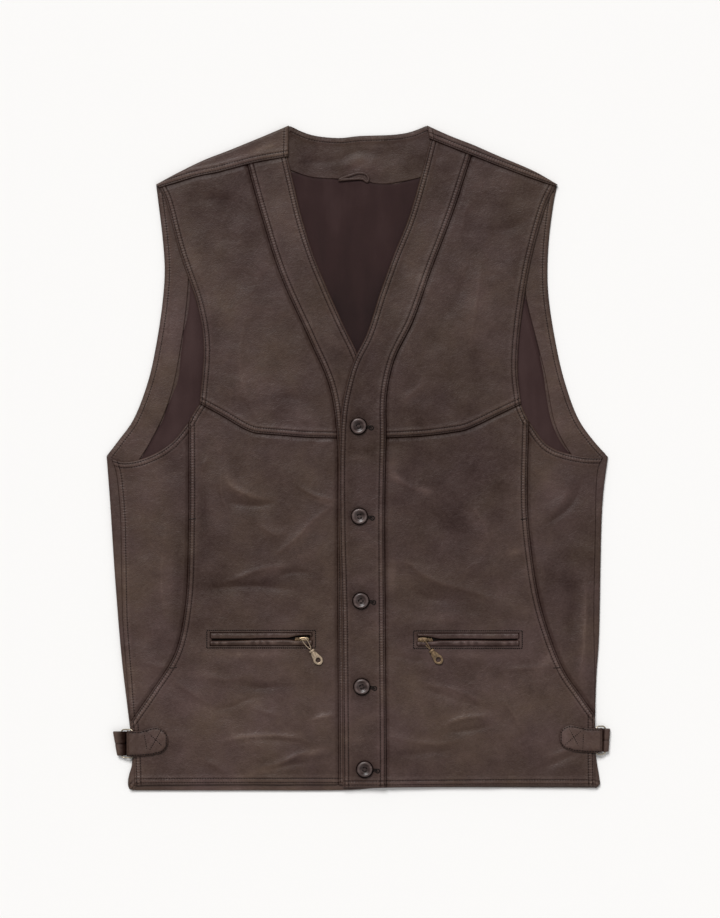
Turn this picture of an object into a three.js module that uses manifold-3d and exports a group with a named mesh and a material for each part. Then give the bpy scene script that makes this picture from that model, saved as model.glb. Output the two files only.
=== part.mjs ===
// A leather vest laid flat, front up: back, fronts, bands, zip pockets, buttons and side adjusters.
// Millimetres. X runs to the right as the laid vest is seen, Y from hem to neck, Z up from the surface.
import * as THREE from 'three';
import { mergeVertices } from 'three/addons/utils/BufferGeometryUtils.js';
import Module from 'manifold-3d';

const wasm = await Module();
wasm.setup();

// Leather and gaps
const BACK_WALL = 1.5;
const FRONT_WALL = 1.5;
const THIN_WALL = 1.0;
const GAP = 0.3;
const SEAM_INSET = 0.17;
const SEAM_CLEAR = 0.8;

// Heights above the surface
const FOLD_RADIUS = 2.6;
const EDGE_HEIGHT = 2 * FOLD_RADIUS;
const DOME = 0.8;
const LAP = FRONT_WALL + GAP;
const FACING_BASE = BACK_WALL + GAP;
const FOLD_END_ANGLE = 1.8;
const SHOULDER_TURN = 2.83;

// Outline of the back: x and y of each place, from the top of a line to its foot
const BACK = {
  left: {
    shoulder: [[-212, 287], [-187, 300.5], [-161, 313], [-134, 323.5], [-101, 337], [-72.5, 349]],
    armhole: [[-212, 287], [-210, 271], [-205, 229], [-203, 197], [-205, 166], [-211, 124],
      [-220, 82], [-236, 40], [-251, 19], [-264, 2]],
    side: [[-264, 2], [-260.5, -44], [-255, -128], [-248, -212], [-240.5, -275], [-237.5, -302],
      [-237.5, -326], [-241, -341], [-241, -348.5]],
  },
  right: {
    shoulder: [[209.5, 287], [186, 300.5], [143, 319], [119, 329.5], [97, 338], [72.5, 349]],
    armhole: [[209.5, 287], [206, 271], [200.5, 229], [199, 192], [200.5, 166], [207, 124],
      [216.5, 82], [232, 40], [250, 15], [262.5, 1.5]],
    side: [[262.5, 1.5], [257, -44], [253, -191], [250.5, -228], [249, -280], [250, -312],
      [254, -338], [254, -346]],
  },
  neck: [[-72.5, 349], [-62, 344], [-50, 339.5], [-36, 337], [-18, 336], [0, 338], [38, 339.5],
    [54, 342], [64, 345.5], [72.5, 349]],
  hem: [[-241, -348.5], [-124, -349], [-6, -348.5], [20, -346.5], [222, -346], [254, -346]],
};

// Seams and edges of the fronts, from neck to hem or from the armhole to the button line
const CORNER = { left: [-166, 57], right: [171, 56.5] };
const PANEL_TOP = { left: [-177.5, 38], right: [179, 39] };
const TAB_CORNER = { left: [-238, -276], right: [248.5, -270] };
const FRONT = {
  left: {
    shoulder: [[-208, 283.5], [-193, 288], [-168, 295.5], [-148, 299.5], [-116, 308]],
    bandTop: [[-116, 308], [-103, 311], [-74, 316]],
    seamEnd: [-71, 316.5],
    armhole: [[-208, 283.5], [-202.5, 272], [-188, 218], [-168, 158], [-162, 119], CORNER.left],
    bandSeam: [[-116, 308], [-103.5, 262.5], [-81.5, 193], [-51.5, 126], [-29.5, 74], [-22, 21],
      [-21.5, -65], [-21, -170], [-20, -343]],
    yokeSeam: [CORNER.left, [-143, 47], [-113.5, 27], [-81.5, 24], [-54, 21.5], [-22, 21]],
    edge: [[-74, 316], [-69, 294.5], [-59, 252.5], [-46.5, 213], [-31.5, 176], [-17, 143.5],
      [-2, 112.5], [12.5, 76.5], [20, 48.5], [22, 19], [22.5, -65], [23, -149], [23, -343]],
    armholeFoot: [CORNER.left, [-172, 48], PANEL_TOP.left],
    underarm: [PANEL_TOP.left, [-196, 16], [-220, 1.5], [-244, -4], [-258.5, -1]],
    panelSeam: [PANEL_TOP.left, [-177.5, -64], [-181, -155], [-192, -205], [-216, -244], TAB_CORNER.left],
    sideSeam: [[-258.5, -1], [-254, -15], [-249.5, -59], [-248.5, -101], [-247, -171],
      [-244, -212], [-239.3, -274]],
    vent: [TAB_CORNER.left, [-235.5, -314], [-234.5, -343.5]],
    hem: [[-234.5, -343.5], [-166, -343], [-20, -343]],
    bandHem: [[-20, -343], [23, -343]],
  },
  right: {
    shoulder: [[207, 285], [197.5, 288], [160, 301.5], [119, 317.5]],
    bandTop: [[119, 317.5], [98.5, 325.5], [76, 334.5]],
    seamEnd: [72, 336.5],
    armhole: [[207, 285], [197.5, 265], [181, 205.5], [170, 136], [167.5, 92.5], CORNER.right],
    bandSeam: [[119, 317.5], [99.5, 257.5], [77, 198], [57.5, 143.5], [38, 103], [30, 66],
      [29.5, 21], [28, -44], [28.5, -170], [29.5, -301], [29.5, -345.5]],
    yokeSeam: [CORNER.right, [144, 43.5], [114.5, 29.5], [69.5, 22.5], [29.5, 21]],
    edge: [[76, 334.5], [65, 292], [52.5, 250], [37.5, 213], [22.5, 171], [9, 129.5],
      [-5.5, 100], [-14, 70], [-18, 46], [-20, 8.5], [-20, -70], [-17.5, -170], [-16.5, -283],
      [-16, -345.5]],
    armholeFoot: [CORNER.right, [174.5, 48], PANEL_TOP.right],
    underarm: [PANEL_TOP.right, [200.5, 12.5], [233.5, 2], [257, 1]],
    panelSeam: [PANEL_TOP.right, [177.5, -44], [180.5, -87], [191.5, -155], [215, -221],
      [234.5, -250], TAB_CORNER.right],
    sideSeam: [[257, 1], [252, -10.5], [249, -87], [247.5, -171], [248.3, -212], [248.8, -272]],
    vent: [TAB_CORNER.right, [248.5, -314], [249, -344.5]],
    hem: [[249, -344.5], [138, -344.5], [29.5, -345.5]],
    bandHem: [[29.5, -345.5], [-16, -345.5]],
  },
};

// Inside pieces that show in the neck and the armholes
const INSIDE = {
  neckFacingTop: [[-79, 341], [-72, 343.5], [-62, 343], [-50, 338.7], [-36, 336.2], [-18, 335.2],
    [0, 337.2], [38, 338.7], [54, 341.2], [64, 343.7], [74, 343], [80, 340]],
  neckFacingFoot: [[-84, 306.5], [-69.5, 301.5], [-50.5, 295], [-13.5, 292.5], [8.5, 291],
    [28.5, 287.5], [46, 290], [64, 294], [86, 302]],
  facingLeft: [[-180, 255], [-177.5, 213], [-179, 171], [-186.5, 114], [-195, 71.5],
    [-205.5, 41.5], [-220, 13.5], [-229, -1], [-238, -15]],
  facingRight: [[175, 255], [173, 213], [176, 171], [188.5, 119], [196, 89], [205.5, 39.5],
    [212, 23], [223, 4.5], [236, -13]],
  liningFoot: [[-238, -15], [0, -15], [236, -13]],
};
const FACING = { topY: 275, clear: 0.6, underarmDrop: 14 };

// Creases pressed into the soft leather: middle, direction in degrees, half length, half width, rise
const CREASES = [
  { x: -161, y: -30, turn: 84, length: 75, width: 9, rise: 0.7 },
  { x: -147, y: -5, turn: 62, length: 45, width: 10, rise: -0.5 },
  { x: -112, y: -30, turn: -38, length: 48, width: 11, rise: 0.6 },
  { x: -84, y: -60, turn: 20, length: 42, width: 12, rise: -0.5 },
  { x: -150, y: -245, turn: 28, length: 55, width: 12, rise: 0.6 },
  { x: -118, y: -285, turn: -18, length: 60, width: 12, rise: 0.5 },
  { x: 75, y: -45, turn: 30, length: 50, width: 11, rise: 0.6 },
  { x: 112, y: -70, turn: -52, length: 52, width: 11, rise: -0.5 },
  { x: 128, y: -118, turn: 40, length: 46, width: 12, rise: 0.5 },
  { x: 96, y: -255, turn: -30, length: 55, width: 12, rise: 0.6 },
  { x: 160, y: -300, turn: 15, length: 55, width: 12, rise: 0.5 },
  { x: -120, y: 150, turn: 70, length: 55, width: 14, rise: 0.5 },
  { x: 118, y: 165, turn: -72, length: 60, width: 14, rise: 0.5 },
];

// Rows and columns of the panels
const ROWS = { yoke: 12, corner: 2, lower: 13, tab: 5, armhole: 12, side: 12 };
const COLUMNS = { front: 11, side: 5, band: 3, shoulder: 6, neck: 7, fold: 5 };

// Pockets: middle of the zip, its slider and the way its pull hangs
const WINDOW = { length: 108, width: 17.5, corner: 1.2 };
const LIPS = { thick: 2, proud: 0.3, slit: 1.6, mouth: 6, mouthLength: 20, mouthBack: 7, mouthFront: 6.4 };
const TAPE = { length: 104, width: 15, thick: 1 };
const POCKETS = {
  left: { x: -101.5, y: -190, slider: -56.5, mouthSide: 1, pullTurn: -53, loopTilt: 45 },
  right: { x: 115.2, y: -190.5, slider: 68, mouthSide: -1, pullTurn: -50, loopTilt: 60 },
};
const SLIDER = { length: 11, width: 4.6, thick: 2.6, corner: 1.4 };
const BRIDGE = { radius: 0.55, rise: 2.2, post: 3.5, postLength: 1, postWidth: 1.6, sunk: 0.2 };
const PULL = { wire: 0.45, eye: 1.4, link: 9, drop: 3 };
const PULL_TAB = { start: 10.2, end: 32, half: 4.8, halfNeck: 1.6, thick: 1.2, hole: 2.4, holeAt: 25.5 };

// Buttons: 18 mm across, on the button line of the right band
const BUTTON = { radius: 9, foot: 6.8, thick: 3.4, rim: 1.3, dish: 2.3, sides: 24 };
const BUTTON_HOLE = { radius: 1, pitch: 3.3 };
const BUTTONS = [[0.5, 33.5], [1.5, -61], [3, -149.5], [4, -239.5], [7, -326]];

// Side adjusters: distances outward from the edge of the vest, and heights
const ADJUSTERS = {
  left: {
    edge: -237.5, out: -1, top: -286, foot: -313, hookEnd: 5, plateEnd: 38.5, crown: -281.5,
    strapRoot: 2.4, strapFrom: 6.2, strapTo: 18.5, ringIn: -1.9, ringOut: 10.9,
  },
  right: {
    edge: 249, out: 1, top: -283, foot: -309, hookEnd: 7, plateEnd: 38, crown: -279.5,
    strapRoot: 1.5, strapFrom: 8, strapTo: 15.5, ringIn: 0.4, ringOut: 10.6,
  },
};
const RING = { wire: 1.1, corner: 3.5, length: 32, heightIn: 6.7, heightOut: 3.3 };
const STRAP = { wall: 1.5, foot: 0.4, inset: 1 };
const TAB = {
  thick: 2.4, base: 5.5, plateFrom: -9, overlap: 1.5, inset: 0.5, arch: 9.4, wall: 1.4, hookFoot: 5,
};

// Hanger loop at the foot of the neck facing
const HANGER = { left: -21.5, right: 10, foot: 291.5, crown: 301.5, band: 3.4, bow: 6, thick: 1.2 };

// Colours
const LEATHER = { color: 0x4b3e3a, roughness: 0.55, metalness: 0 };
const LINING = { color: 0x322625, roughness: 0.8, metalness: 0 };
const BRASS = { color: 0x7d6544, roughness: 0.42, metalness: 1 };
const STEEL = { color: 0x9b9a96, roughness: 0.3, metalness: 1 };
const HORN = { color: 0x2e2421, roughness: 0.25, metalness: 0 };
const TAPE_CLOTH = { color: 0x2b2322, roughness: 0.85, metalness: 0 };

const part = new THREE.Group();

// Adds a named piece to the vest, or to the group that it belongs to.
function add(name, geometry, look, parent = part) {
  const mesh = new THREE.Mesh(geometry, new THREE.MeshStandardMaterial(look));
  mesh.name = name;
  parent.add(mesh);
  return mesh;
}

// Eases from 0 at one value to 1 at another, whichever is larger.
function ease(from, to, value) {
  const share = THREE.MathUtils.clamp((value - from) / (to - from), 0, 1);
  return share * share * (3 - 2 * share);
}

// A smooth line through a short table, read by its share of the length.
function line(table) {
  const places = table.map(([x, y]) => new THREE.Vector3(x, y, 0));
  const curve = new THREE.CatmullRomCurve3(places, false, 'centripetal');
  return (share) => curve.getPointAt(share).toArray().slice(0, 2);
}

// Reads a line at equal steps.
function read(edge, steps) {
  return Array.from({ length: steps + 1 }, (_, i) => edge(i / steps));
}

// Joins lists of places that share their end places.
const joined = (first, ...lists) => lists.reduce((all, list) => all.concat(list.slice(1)), first);

// Fills the net between four edges: foot and head run one way, start and end run up between them.
function fill(foot, head, start, end) {
  const rows = start.length - 1;
  const columns = foot.length - 1;
  const net = [];
  for (let row = 0; row <= rows; row += 1) {
    const up = row / rows;
    net.push(foot.map((footPlace, column) => {
      const across = column / columns;
      return [0, 1].map((axis) => {
        const upright = (1 - up) * footPlace[axis] + up * head[column][axis];
        const level = (1 - across) * start[row][axis] + across * end[row][axis];
        const corners = (1 - up) * ((1 - across) * foot[0][axis] + across * foot[columns][axis])
          + up * ((1 - across) * head[0][axis] + across * head[columns][axis]);
        return upright + level - corners;
      });
    }));
  }
  return net;
}

// Draws the rim of a net inward, so that the pieces on both sides of a seam stand apart.
function inset(net, distance = SEAM_INSET) {
  const rows = net.length - 1;
  const columns = net[0].length - 1;
  const moved = net.map((row) => row.map((place) => place.slice()));
  const pull = (row, column, toRow, toColumn) => {
    const from = net[row][column];
    const toward = net[toRow][toColumn];
    const length = Math.hypot(toward[0] - from[0], toward[1] - from[1]);
    const share = Math.min(distance / length, 0.4);
    moved[row][column][0] += (toward[0] - from[0]) * share;
    moved[row][column][1] += (toward[1] - from[1]) * share;
  };
  for (let row = 0; row <= rows; row += 1) {
    pull(row, 0, row, 1);
    pull(row, columns, row, columns - 1);
  }
  for (let column = 0; column <= columns; column += 1) {
    pull(0, column, 1, column);
    pull(rows, column, rows - 1, column);
  }
  return moved;
}

// The signed volume of a closed geometry, above zero where its faces point out.
function signedVolume(positions, index) {
  let sum = 0;
  const [a, b, c] = [new THREE.Vector3(), new THREE.Vector3(), new THREE.Vector3()];
  for (let i = 0; i < index.length; i += 3) {
    a.fromArray(positions, 3 * index[i]);
    b.fromArray(positions, 3 * index[i + 1]);
    c.fromArray(positions, 3 * index[i + 2]);
    sum += a.dot(b.cross(c));
  }
  return sum;
}

// Builds a geometry from places and triangles, turned so that its faces point out.
function geometryOf(positions, index) {
  const outward = signedVolume(positions, index) > 0 ? index : index.slice().reverse();
  const geometry = new THREE.BufferGeometry();
  geometry.setAttribute('position', new THREE.Float32BufferAttribute(positions, 3));
  geometry.setIndex(Array.from(outward));
  geometry.computeVertexNormals();
  return geometry;
}

// Closes a sheet of cloth: outer and inner places, four-sided faces, and a rim around each free edge.
function wall(outer, inner, faces) {
  const count = outer.length;
  const index = [];
  const edges = new Map();
  for (const [a, b, c, d] of faces) {
    index.push(a, b, c, a, c, d);
    index.push(count + a, count + c, count + b, count + a, count + d, count + c);
    for (const [from, to] of [[a, b], [b, c], [c, d], [d, a]]) {
      if (!edges.delete(`${to} ${from}`)) edges.set(`${from} ${to}`, [from, to]);
    }
  }
  for (const [from, to] of edges.values()) {
    index.push(to, from, count + from, to, count + from, count + to);
  }
  return geometryOf(outer.concat(inner).flat(), index);
}

// Closes a net that lies over the surface: its outer height at each place, and its thickness.
function panel(net, height, thick) {
  const columns = net[0].length;
  const outer = net.flat().map(([x, y]) => [x, y, height(x, y)]);
  const inner = outer.map(([x, y, z]) => [x, y, z - thick]);
  const faces = [];
  for (let row = 0; row < net.length - 1; row += 1) {
    for (let column = 0; column < columns - 1; column += 1) {
      const at = row * columns + column;
      faces.push([at, at + 1, at + columns + 1, at + columns]);
    }
  }
  return wall(outer, inner, faces);
}

// Moves every place of a geometry and keeps its faces pointing out.
function mapped(geometry, move) {
  const bare = geometry.clone();
  bare.deleteAttribute('normal');
  bare.deleteAttribute('uv');
  const merged = mergeVertices(bare, 1e-4);
  const place = new THREE.Vector3();
  const positions = [];
  for (let i = 0; i < merged.attributes.position.count; i += 1) {
    place.fromBufferAttribute(merged.attributes.position, i);
    positions.push(...move(place.x, place.y, place.z));
  }
  return geometryOf(positions, Array.from(merged.index.array));
}

// A geometry as a solid that can be joined and cut, and back again.
function solidOf(geometry) {
  const clean = mapped(geometry, (x, y, z) => [x, y, z]);
  return new wasm.Manifold(new wasm.Mesh({
    numProp: 3,
    vertProperties: new Float32Array(clean.attributes.position.array),
    triVerts: new Uint32Array(clean.index.array),
  }));
}

function geometryFrom(solid) {
  const mesh = solid.getMesh();
  return geometryOf(Array.from(mesh.vertProperties), Array.from(mesh.triVerts));
}

const cut = (geometry, tool) => geometryFrom(solidOf(geometry).subtract(solidOf(tool)));
const join = (...pieces) => geometryFrom(pieces.map(solidOf).reduce((all, one) => all.add(one)));

// A flat outline with round corners, for windows, lips and sliders.
function roundedShape(length, width, corner) {
  const [x, y] = [length / 2, width / 2];
  const shape = new THREE.Shape();
  shape.moveTo(-x + corner, -y);
  shape.lineTo(x - corner, -y);
  shape.absarc(x - corner, -y + corner, corner, -Math.PI / 2, 0, false);
  shape.absarc(x - corner, y - corner, corner, 0, Math.PI / 2, false);
  shape.absarc(-x + corner, y - corner, corner, Math.PI / 2, Math.PI, false);
  shape.absarc(-x + corner, -y + corner, corner, Math.PI, 1.5 * Math.PI, false);
  return shape;
}

const extruded = (shape, depth, curveSegments = 4) => (
  new THREE.ExtrudeGeometry(shape, { depth, bevelEnabled: false, curveSegments }));

// A round wire along a closed ring of places that lie in one plane.
function wireRing(places, radius, sides, normal) {
  const ring = places.map((place, i) => {
    const before = places[(i + places.length - 1) % places.length];
    const after = places[(i + 1) % places.length];
    const along = new THREE.Vector3().subVectors(after, before).normalize();
    const across = new THREE.Vector3().crossVectors(normal, along);
    return Array.from({ length: sides }, (_, k) => {
      const angle = (2 * Math.PI * k) / sides;
      return place.clone()
        .addScaledVector(across, radius * Math.cos(angle))
        .addScaledVector(normal, radius * Math.sin(angle)).toArray();
    });
  });
  const index = [];
  ring.forEach((_, i) => {
    const next = (i + 1) % ring.length;
    for (let k = 0; k < sides; k += 1) {
      const turn = (k + 1) % sides;
      const [a, b] = [i * sides + k, i * sides + turn];
      const [c, d] = [next * sides + turn, next * sides + k];
      index.push(a, b, c, a, c, d);
    }
  });
  return geometryOf(ring.flat(2), index);
}

// Places round a long ring with round corners, in its own plane.
function ringPlaces(length, width, corner, steps) {
  const places = [];
  const quarters = [[1, 1], [-1, 1], [-1, -1], [1, -1]];
  quarters.forEach(([sideX, sideY], quarter) => {
    for (let i = 0; i <= steps; i += 1) {
      const angle = (quarter + i / steps) * (Math.PI / 2);
      places.push([
        sideX * (length / 2 - corner) + corner * Math.cos(angle),
        sideY * (width / 2 - corner) + corner * Math.sin(angle),
      ]);
    }
  });
  return places;
}

// Height of the outer face of a front over the surface, before the fronts lap.
function frontHeight(x, y) {
  const middle = ease(225, 110, Math.abs(x)) * ease(270, 120, y) * ease(-345, -300, y);
  const pocket = x < 0 ? POCKETS.left : POCKETS.right;
  const nearPocket = ease(30, 14, Math.abs(y - pocket.y)) * ease(76, 54, Math.abs(x - pocket.x));
  const awayFromTab = Math.max(ease(-280, -255, y), ease(215, 195, Math.abs(x)));
  const creases = CREASES.reduce((sum, crease) => {
    const turn = THREE.MathUtils.degToRad(crease.turn);
    const along = (x - crease.x) * Math.cos(turn) + (y - crease.y) * Math.sin(turn);
    const across = (y - crease.y) * Math.cos(turn) - (x - crease.x) * Math.sin(turn);
    const reach = ease(crease.length, crease.length * 0.2, Math.abs(along));
    return sum + crease.rise * reach * Math.exp(-((across / crease.width) ** 2));
  }, 0);
  return EDGE_HEIGHT + DOME * middle + creases * awayFromTab * middle * (1 - nearPocket);
}

// The right front rises toward the band that laps over the left one.
const LAP_SHARE = 0.55;
const lapRise = (y) => LAP * ease(200, 120, y);
const bandHeight = { left: frontHeight, right: (x, y) => frontHeight(x, y) + lapRise(y) };
const panelHeight = {
  left: frontHeight,
  right: (x, y) => frontHeight(x, y) + LAP_SHARE * lapRise(y) * ease(80, 30, x),
};

// The back: flat below, rolled over its sides to the side seams and over the shoulders to theirs.
function foldSection(length) {
  const arc = Math.PI * FOLD_RADIUS;
  const angle = Math.min(length, arc) / FOLD_RADIUS;
  const run = Math.max(length - arc, 0);
  const inner = FOLD_RADIUS - BACK_WALL;
  return {
    outer: [FOLD_RADIUS * Math.sin(angle) - run, FOLD_RADIUS - FOLD_RADIUS * Math.cos(angle)],
    inner: [inner * Math.sin(angle) - run, FOLD_RADIUS - inner * Math.cos(angle)],
  };
}

// How far the back runs round a fold to end short of a seam that lies so far in from the edge.
function foldRun(width) {
  const clear = width - FOLD_RADIUS - SEAM_CLEAR;
  return clear > 0 ? Math.PI * FOLD_RADIUS + clear : FOLD_END_ANGLE * FOLD_RADIUS;
}

// Where a seam crosses a given height or place: the other coordinate there.
function crossing(table, axis, value) {
  const places = read(line(table), 60);
  const best = places.reduce((one, other) => (
    Math.abs(other[axis] - value) < Math.abs(one[axis] - value) ? other : one));
  return best[1 - axis];
}

function buildBack() {
  const sideEdge = (side) => {
    const fold = read(line(BACK[side].side), ROWS.side).reverse();
    const hole = read(line(BACK[side].armhole), ROWS.armhole).reverse();
    const inward = side === 'left' ? 1 : -1;
    const flat = fold.map(([x, y]) => [x + inward * FOLD_RADIUS, y]);
    return joined(flat, hole);
  };
  const shoulder = (side) => read(line(BACK[side].shoulder), COLUMNS.shoulder)
    .map(([x, y]) => [x, y - FOLD_RADIUS]);
  const neck = read(line(BACK.neck), COLUMNS.neck);
  const head = joined(shoulder('left'), neck, shoulder('right').reverse());
  const start = sideEdge('left');
  const end = sideEdge('right');
  start[start.length - 1] = head[0];
  end[end.length - 1] = head[head.length - 1];
  const foot = read(line(BACK.hem), head.length - 1);
  foot[0] = start[0];
  foot[foot.length - 1] = end[0];
  const net = fill(foot, head, start, end);
  const columns = head.length;
  const outer = net.flat().map(([x, y]) => [x, y, 0]);
  const inner = net.flat().map(([x, y]) => [x, y, BACK_WALL]);
  const faces = [];
  for (let row = 0; row < net.length - 1; row += 1) {
    for (let column = 0; column < columns - 1; column += 1) {
      const at = row * columns + column;
      faces.push([at, at + columns, at + columns + 1, at + 1]);
    }
  }
  const roll = (bases, runs, outward, flipped) => {
    let previous = bases;
    for (let step = 1; step <= COLUMNS.fold; step += 1) {
      const current = bases.map((base, i) => {
        const section = foldSection((runs[i] * step) / COLUMNS.fold);
        const [x, y] = outer[base];
        const turned = ([out, up]) => [x + outward[0] * out, y + outward[1] * out, up];
        outer.push(turned(section.outer));
        inner.push(turned(section.inner));
        return outer.length - 1;
      });
      for (let i = 0; i < bases.length - 1; i += 1) {
        const face = [previous[i], previous[i + 1], current[i + 1], current[i]];
        faces.push(flipped ? face : face.reverse());
      }
      previous = current;
    }
  };
  for (const [side, column, out] of [['left', 0, -1], ['right', columns - 1, 1]]) {
    const bases = Array.from({ length: ROWS.side + 1 }, (_, row) => row * columns + column);
    const runs = bases.map((base) => {
      const [x, y] = outer[base];
      const seam = y > TAB_CORNER[side][1] ? crossing(FRONT[side].sideSeam, 1, y) : x;
      return foldRun(Math.abs(x + out * FOLD_RADIUS - seam));
    });
    roll(bases, runs, [out, 0], side === 'right');
  }
  const top = (net.length - 1) * columns;
  for (const [side, from] of [['left', 0], ['right', columns - 1 - COLUMNS.shoulder]]) {
    const bases = Array.from({ length: COLUMNS.shoulder + 1 }, (_, i) => top + from + i);
    const seam = FRONT[side].shoulder.concat(FRONT[side].bandTop.slice(1), [FRONT[side].seamEnd]);
    const runs = bases.map((base) => {
      const [x, y] = outer[base];
      return Math.max(foldRun(y + FOLD_RADIUS - crossing(seam, 0, x)), SHOULDER_TURN * FOLD_RADIUS);
    });
    roll(bases, runs, [0, 1], false);
  }
  add('back', wall(outer, inner, faces), LEATHER);
}

// Facings and lining: thin walls on the inside of the back, where the neck and armholes show them.
function buildInside() {
  const flat = () => FACING_BASE + THIN_WALL;
  const facingFoot = read(line(INSIDE.neckFacingFoot), 10);
  const facingHead = read(line(INSIDE.neckFacingTop), 10);
  const neckFacing = fill(facingFoot, facingHead,
    [facingFoot[0], facingHead[0]], [facingFoot[10], facingHead[10]]);
  add('neck_facing', panel(inset(neckFacing), flat, THIN_WALL), LEATHER);

  const linesIn = {
    left: read(line(INSIDE.facingLeft), ROWS.armhole),
    right: read(line(INSIDE.facingRight), ROWS.armhole),
  };
  for (const side of ['left', 'right']) {
    const out = side === 'left' ? -1 : 1;
    const hole = BACK[side].armhole.filter(([, y]) => y <= FACING.topY);
    const clear = hole.map(([x, y]) => [x - out * FACING.clear, y]);
    const last = clear[clear.length - 1];
    clear.push([last[0] - out * (FOLD_RADIUS + 1), last[1] - FACING.underarmDrop]);
    const outEdge = read(line(clear), ROWS.armhole);
    const inEdge = linesIn[side];
    const foot = [outEdge[0], inEdge[0]];
    const head = [outEdge[ROWS.armhole], inEdge[ROWS.armhole]];
    add(`armhole_facing_${side}`, panel(inset(fill(foot, head, outEdge, inEdge)), flat, THIN_WALL), LEATHER);
  }

  const start = linesIn.left.slice().reverse();
  const end = linesIn.right.slice().reverse();
  const seam = facingFoot.map(([x, y]) => [x, y - GAP]);
  const head = [start[ROWS.armhole], ...seam, end[ROWS.armhole]];
  const foot = read(line(INSIDE.liningFoot), head.length - 1);
  add('back_lining', panel(inset(fill(foot, head, start, end)), flat, THIN_WALL), LINING);

  const { left, right, foot: root, crown, band, bow } = HANGER;
  const middle = (left + right) / 2;
  const under = crown - band;
  const loop = new THREE.Shape();
  loop.moveTo(left, root);
  loop.bezierCurveTo(left + bow / 2, crown, middle - bow, crown, middle, crown);
  loop.bezierCurveTo(middle + bow, crown, right - bow / 2, crown, right, root);
  loop.lineTo(right - band, root);
  loop.bezierCurveTo(right - bow, under, middle + bow, under, middle, under);
  loop.bezierCurveTo(middle - bow, under, left + bow, under, left + band, root);
  loop.closePath();
  const hanger = mapped(extruded(loop, HANGER.thick, 5), (x, y, z) => [x, y, z + flat() + GAP]);
  add('hanger_loop', hanger, LEATHER);
}

// Box through the wall of a front where its pocket opens.
function pocketWindow(side) {
  const pocket = POCKETS[side];
  const hole = extruded(roundedShape(WINDOW.length, WINDOW.width, WINDOW.corner), 20, 2);
  return mapped(hole, (x, y, z) => [x + pocket.x, y + pocket.y, z]);
}

// Fronts: yoke, lower front, side panel and band, sharing the places along their seams.
function buildFronts() {
  for (const side of ['left', 'right']) {
    const table = FRONT[side];
    const seamLine = line(table.bandSeam);
    const yokeFoot = table.yokeSeam[table.yokeSeam.length - 1];
    let yokeShare = 0;
    read(seamLine, 400).forEach(([x, y], i) => {
      if (y > yokeFoot[1]) yokeShare = i / 400;
    });
    const lowerRows = ROWS.corner + ROWS.lower + ROWS.tab;
    const seamUpper = Array.from({ length: ROWS.yoke + 1 }, (_, i) => (
      seamLine((yokeShare * i) / ROWS.yoke)));
    const seamLower = Array.from({ length: lowerRows + 1 }, (_, i) => (
      seamLine(yokeShare + ((1 - yokeShare) * i) / lowerRows)));

    const yokeSeam = read(line(table.yokeSeam), COLUMNS.front);
    yokeSeam[COLUMNS.front] = seamLower[0];
    const yoke = fill(yokeSeam, read(line(table.shoulder), COLUMNS.front),
      read(line(table.armhole), ROWS.yoke).reverse(), seamUpper.slice().reverse());
    add(`front_yoke_${side}`, panel(inset(yoke), panelHeight[side], FRONT_WALL), LEATHER);

    const panelSeam = read(line(table.panelSeam), ROWS.lower);
    const outEdge = joined(
      read(line(table.armholeFoot), ROWS.corner), panelSeam, read(line(table.vent), ROWS.tab));
    const lower = fill(read(line(table.hem), COLUMNS.front), yokeSeam, outEdge.slice().reverse(),
      seamLower.slice().reverse());
    const lowerWall = panel(inset(lower), panelHeight[side], FRONT_WALL);
    add(`front_lower_${side}`, cut(lowerWall, pocketWindow(side)), LEATHER);

    const sideSeam = read(line(table.sideSeam), ROWS.lower);
    const underarm = read(line(table.underarm), COLUMNS.side).reverse();
    const sideFoot = read(line([sideSeam[ROWS.lower], panelSeam[ROWS.lower]]), COLUMNS.side);
    const sidePanel = fill(sideFoot, underarm, sideSeam.slice().reverse(), panelSeam.slice().reverse());
    add(`front_side_${side}`, panel(inset(sidePanel), panelHeight[side], FRONT_WALL), LEATHER);

    const bandSeam = joined(seamUpper, seamLower);
    const bandRows = ROWS.yoke + lowerRows;
    const bandEdge = read(line(table.edge), bandRows);
    const band = fill(read(line(table.bandHem), COLUMNS.band), read(line(table.bandTop), COLUMNS.band),
      bandSeam.reverse(), bandEdge.reverse());
    add(`front_band_${side}`, panel(inset(band), bandHeight[side], FRONT_WALL), LEATHER);
  }
}

// The slit between the two lips, wider where the slider stands.
function slitShape(side) {
  const pocket = POCKETS[side];
  const ends = TAPE.length / 2 - 2;
  const mouth = pocket.mouthSide * (pocket.slider - pocket.x);
  const half = [LIPS.slit / 2, LIPS.mouth / 2];
  const [narrow, wide] = [mouth - LIPS.mouthLength, mouth - LIPS.mouthBack];
  const stop = mouth + LIPS.mouthFront;
  const places = [
    [-ends, half[0]], [narrow, half[0]], [wide, half[1]], [stop, half[1]],
    [stop, -half[1]], [wide, -half[1]], [narrow, -half[0]], [-ends, -half[0]],
  ];
  return new THREE.Shape(places.map(([x, y]) => new THREE.Vector2(x, y)));
}

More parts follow.
